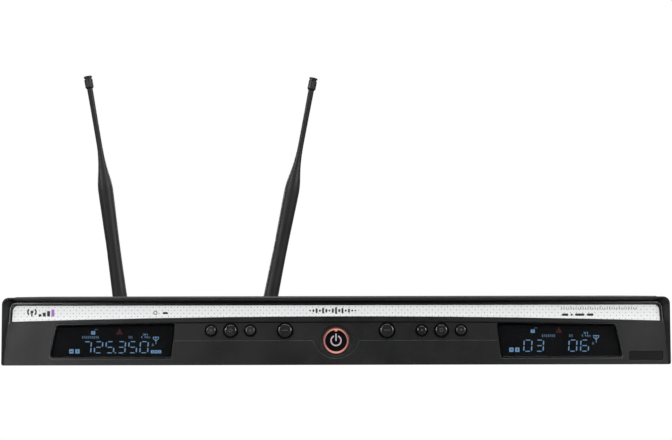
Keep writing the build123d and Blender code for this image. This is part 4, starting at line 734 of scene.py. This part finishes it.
INK = ink("ink_black", (0.006, 0.006, 0.007), (0.014, 0.014, 0.015), 0.45)
INK_GREY = ink("ink_grey", (0.34, 0.345, 0.35), (0.42, 0.425, 0.43))
INK_VIOLET = ink("ink_violet", (0.33, 0.12, 0.5), (0.42, 0.18, 0.58), 0.45)
STRIP_FRONT, INK_THICKNESS = -0.15, 0.03
strip_low, strip_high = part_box("trim_strip")
strip_middle = (strip_low.x + strip_high.x) / 2 / MM


def strip_print(name, outlines, look):
    prism(f"strip_{name}", outlines, STRIP_FRONT, INK_THICKNESS, look)


# A mast sending to both sides, and four rising bars, the last one violet.
MAST_X, PRINT_FOOT, MAST_TOP = -195.7, 31.7, 34.6
aerial = [bar(MAST_X - 0.45, PRINT_FOOT, MAST_X + 0.45, MAST_TOP - 0.6), disc(MAST_X, MAST_TOP, 1.0)]
aerial += [arc(MAST_X, MAST_TOP, 2.6, 0.95, start, start + 90, 10) for start in (-45, 135)]
LEVELS_X, LEVELS_PITCH, LEVELS_WIDTH = -191.4, 2.75, 1.9
starts = [LEVELS_X + LEVELS_PITCH * i for i in range(4)]
levels = [bar(x, PRINT_FOOT, x + LEVELS_WIDTH, PRINT_FOOT + 1.5 + i) for i, x in enumerate(starts)]
strip_print("signal_mark", aerial + levels[:3], INK)
strip_print("signal_accent", levels[3:], INK_VIOLET)

# Half heights of the bars of a sound wave.
WAVE = (0.45, 0.9, 1.6, 0.8, 1.95, 1.2, 0.6, 1.5, 2.2, 1.0, 1.75, 0.7, 1.3, 0.5, 0.35)
WAVE_X, WAVE_PITCH, WAVE_WIDTH, WAVE_MIDDLE = strip_middle - 17.2, 2.08, 1.2, 35.1
wave = []
for i, half in enumerate(WAVE):
    x = WAVE_X + WAVE_PITCH * i
    wave.append(round_bar(x, WAVE_MIDDLE - half, x + WAVE_WIDTH, WAVE_MIDDLE + half))
strip_print("wave_mark", wave, INK)

DASHES = ((145.3, 149.6), (150.9, 152.4), (153.8, 160.0), (161.4, 165.8))
strip_print("dash_mark", [round_bar(x0, 31.45, x1, 32.95) for x0, x1 in DASHES], INK)
TICKS_X, TICKS_FOOT, TICKS_PITCH, TICK_WIDTH, TICK_COUNT = 144.8, 35.5, 1.55, 0.8, 32
ticks = []
for i in range(TICK_COUNT):
    x = TICKS_X + TICKS_PITCH * i
    ticks.append(bar(x, TICKS_FOOT, x + TICK_WIDTH, TICKS_FOOT + (1.3 if i % 4 else 1.8)))
strip_print("tick_row", ticks, INK_GREY)
window_low, window_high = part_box("ir_window")
sensor_x = (window_low.x + window_high.x) / 2 / MM - 6.4
strip_print("sensor_mark", ring_outlines(sensor_x, 33.9, 1.05, 0.42), INK)

# ---------------------------------------------------------------- marks on the buttons
CAP_INK = ink("cap_ink", (0.045, 0.046, 0.048), (0.065, 0.066, 0.068))
BUTTON_UP, CAP_FRONT, CAP_INK_THICKNESS = 22.5, -0.9, 0.02
ARROW_HALF, ARROW_BASE, ARROW_TIP = 0.95, 0.6, 0.8


def button_mark(use, x):
    """Arrow up or down, ring for set, three short bars for sync."""
    if use in ("up", "down"):
        way = 1 if use == "up" else -1
        base = BUTTON_UP - way * ARROW_BASE
        corners = [(x - ARROW_HALF, base), (x + ARROW_HALF, base), (x, BUTTON_UP + way * ARROW_TIP)]
        return [corners if way > 0 else [corners[0], corners[2], corners[1]]]
    if use == "set":
        return ring_outlines(x, BUTTON_UP, 0.95, 0.35)
    starts = [x - 1.9 + 1.4 * i for i in range(3)]
    return [round_bar(left, BUTTON_UP - 0.3, left + 1.0, BUTTON_UP + 0.3) for left in starts]


for side in ("left", "right"):
    for use in ("down", "set", "up", "sync"):
        node = f"{side}_{use}_button"
        low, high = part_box(node)
        outlines = button_mark(use, (low.x + high.x) / 2 / MM)
        prism(f"{node}_mark", outlines, CAP_FRONT, CAP_INK_THICKNESS, CAP_INK, node)


# ---------------------------------------------------------------- floor, light and camera
def seen_by_camera(tree, for_camera, for_others):
    """Shader that is one thing to the camera and another to the light that bounces."""
    paths = tree.nodes.new("ShaderNodeLightPath")
    choose = tree.nodes.new("ShaderNodeMixShader")
    tree.links.new(paths.outputs["Is Camera Ray"], choose.inputs["Fac"])
    tree.links.new(for_others, choose.inputs[1])
    tree.links.new(for_camera, choose.inputs[2])
    return choose.outputs["Shader"]


def stage_plane():
    """Pale studio floor, which returns only a little light to the underside of the unit."""
    data = bpy.data.meshes.new("floor")
    size = 30.0
    corners = [(-size, -size, 0), (size, -size, 0), (size, size, 0), (-size, size, 0)]
    data.from_pydata(corners, [], [(0, 1, 2, 3)])
    floor = bpy.data.objects.new("floor", data)
    scene.collection.objects.link(floor)
    made = Surface("floor_paper", (0.16, 0.16, 0.16), 0.9, specular=0.0)
    tree = made.tree
    paper = tree.nodes.new("ShaderNodeEmission")
    white = made.mix(made.band(made.noise(3.0, 3.0), 0.3, 0.7), (1.0, 1.0, 1.0), (1.02, 1.02, 1.02))
    tree.links.new(white, paper.inputs["Color"])
    seen = seen_by_camera(tree, paper.outputs["Emission"], made.shader.outputs["BSDF"])
    tree.links.new(seen, made.output.inputs["Surface"])
    data.materials.append(made.material)


stage_plane()


def softbox(name, place, target, width, height, power):
    """Rectangular lamp at a place, turned to its target."""
    data = bpy.data.lights.new(name, "AREA")
    data.shape = "RECTANGLE"
    data.size, data.size_y = width, height
    data.energy = power
    lamp = bpy.data.objects.new(name, data)
    scene.collection.objects.link(lamp)
    lamp.location = place
    lamp.rotation_euler = (Vector(target) - Vector(place)).to_track_quat("-Z", "Y").to_euler()


softbox("top_softbox", (0.0, -0.35, 1.5), (0, -0.1, 0), 1.8, 0.8, 26.0)
softbox("left_softbox", (-1.9, -1.15, 0.9), (-0.05, -0.1, 0.03), 0.7, 0.9, 35.0)
softbox("right_softbox", (1.9, -1.15, 0.9), (0.05, -0.1, 0.03), 0.7, 0.9, 41.0)
softbox("rear_softbox", (0.9, 1.7, 1.0), (0.0, 0.1, 0.03), 0.9, 0.9, 30.0)
softbox("rear_fill", (-1.3, 1.6, 0.7), (0.0, 0.1, 0.03), 0.8, 0.8, 16.0)
softbox("left_kicker", (-0.375, -0.92, 0.18), (-0.2, -0.116, 0.02), 0.12, 0.14, 0.92)
softbox("right_kicker", (0.375, -0.92, 0.18), (0.2, -0.116, 0.02), 0.12, 0.14, 0.52)

world = bpy.data.worlds.new("studio")
scene.world = world
world.use_nodes = True
tree = world.node_tree
tree.nodes.clear()
world_out = tree.nodes.new("ShaderNodeOutputWorld")
seen = tree.nodes.new("ShaderNodeBackground")
seen.inputs["Color"].default_value = (1, 1, 1, 1)
seen.inputs["Strength"].default_value = 1.0
fill = tree.nodes.new("ShaderNodeBackground")
fill.inputs["Color"].default_value = (0.97, 0.98, 1.0, 1)
fill.inputs["Strength"].default_value = 0.08
backdrop = seen_by_camera(tree, seen.outputs["Background"], fill.outputs["Background"])
tree.links.new(backdrop, world_out.inputs["Surface"])
scene.view_settings.view_transform = "Standard"
scene.view_settings.look = "None"

CAMERA_SIDE, CAMERA_DISTANCE, CAMERA_HEIGHT = 0.15 * MM, 1.6, 0.047
CAMERA_TILT, CAMERA_ROLL = 1.66, -0.12  # degrees
FOCAL, SENSOR = 133.4, 36.0
camera_data = bpy.data.cameras.new("camera")
camera_data.sensor_width = SENSOR
camera_data.lens = FOCAL
camera_data.clip_end = 100
camera = bpy.data.objects.new("camera", camera_data)
camera.location = (CAMERA_SIDE, FRONT - CAMERA_DISTANCE, CAMERA_HEIGHT)
tilted = Matrix.Rotation(math.radians(90 + CAMERA_TILT), 3, "X")
camera.rotation_euler = (tilted @ Matrix.Rotation(math.radians(CAMERA_ROLL), 3, "Z")).to_euler()
scene.collection.objects.link(camera)
scene.camera = camera
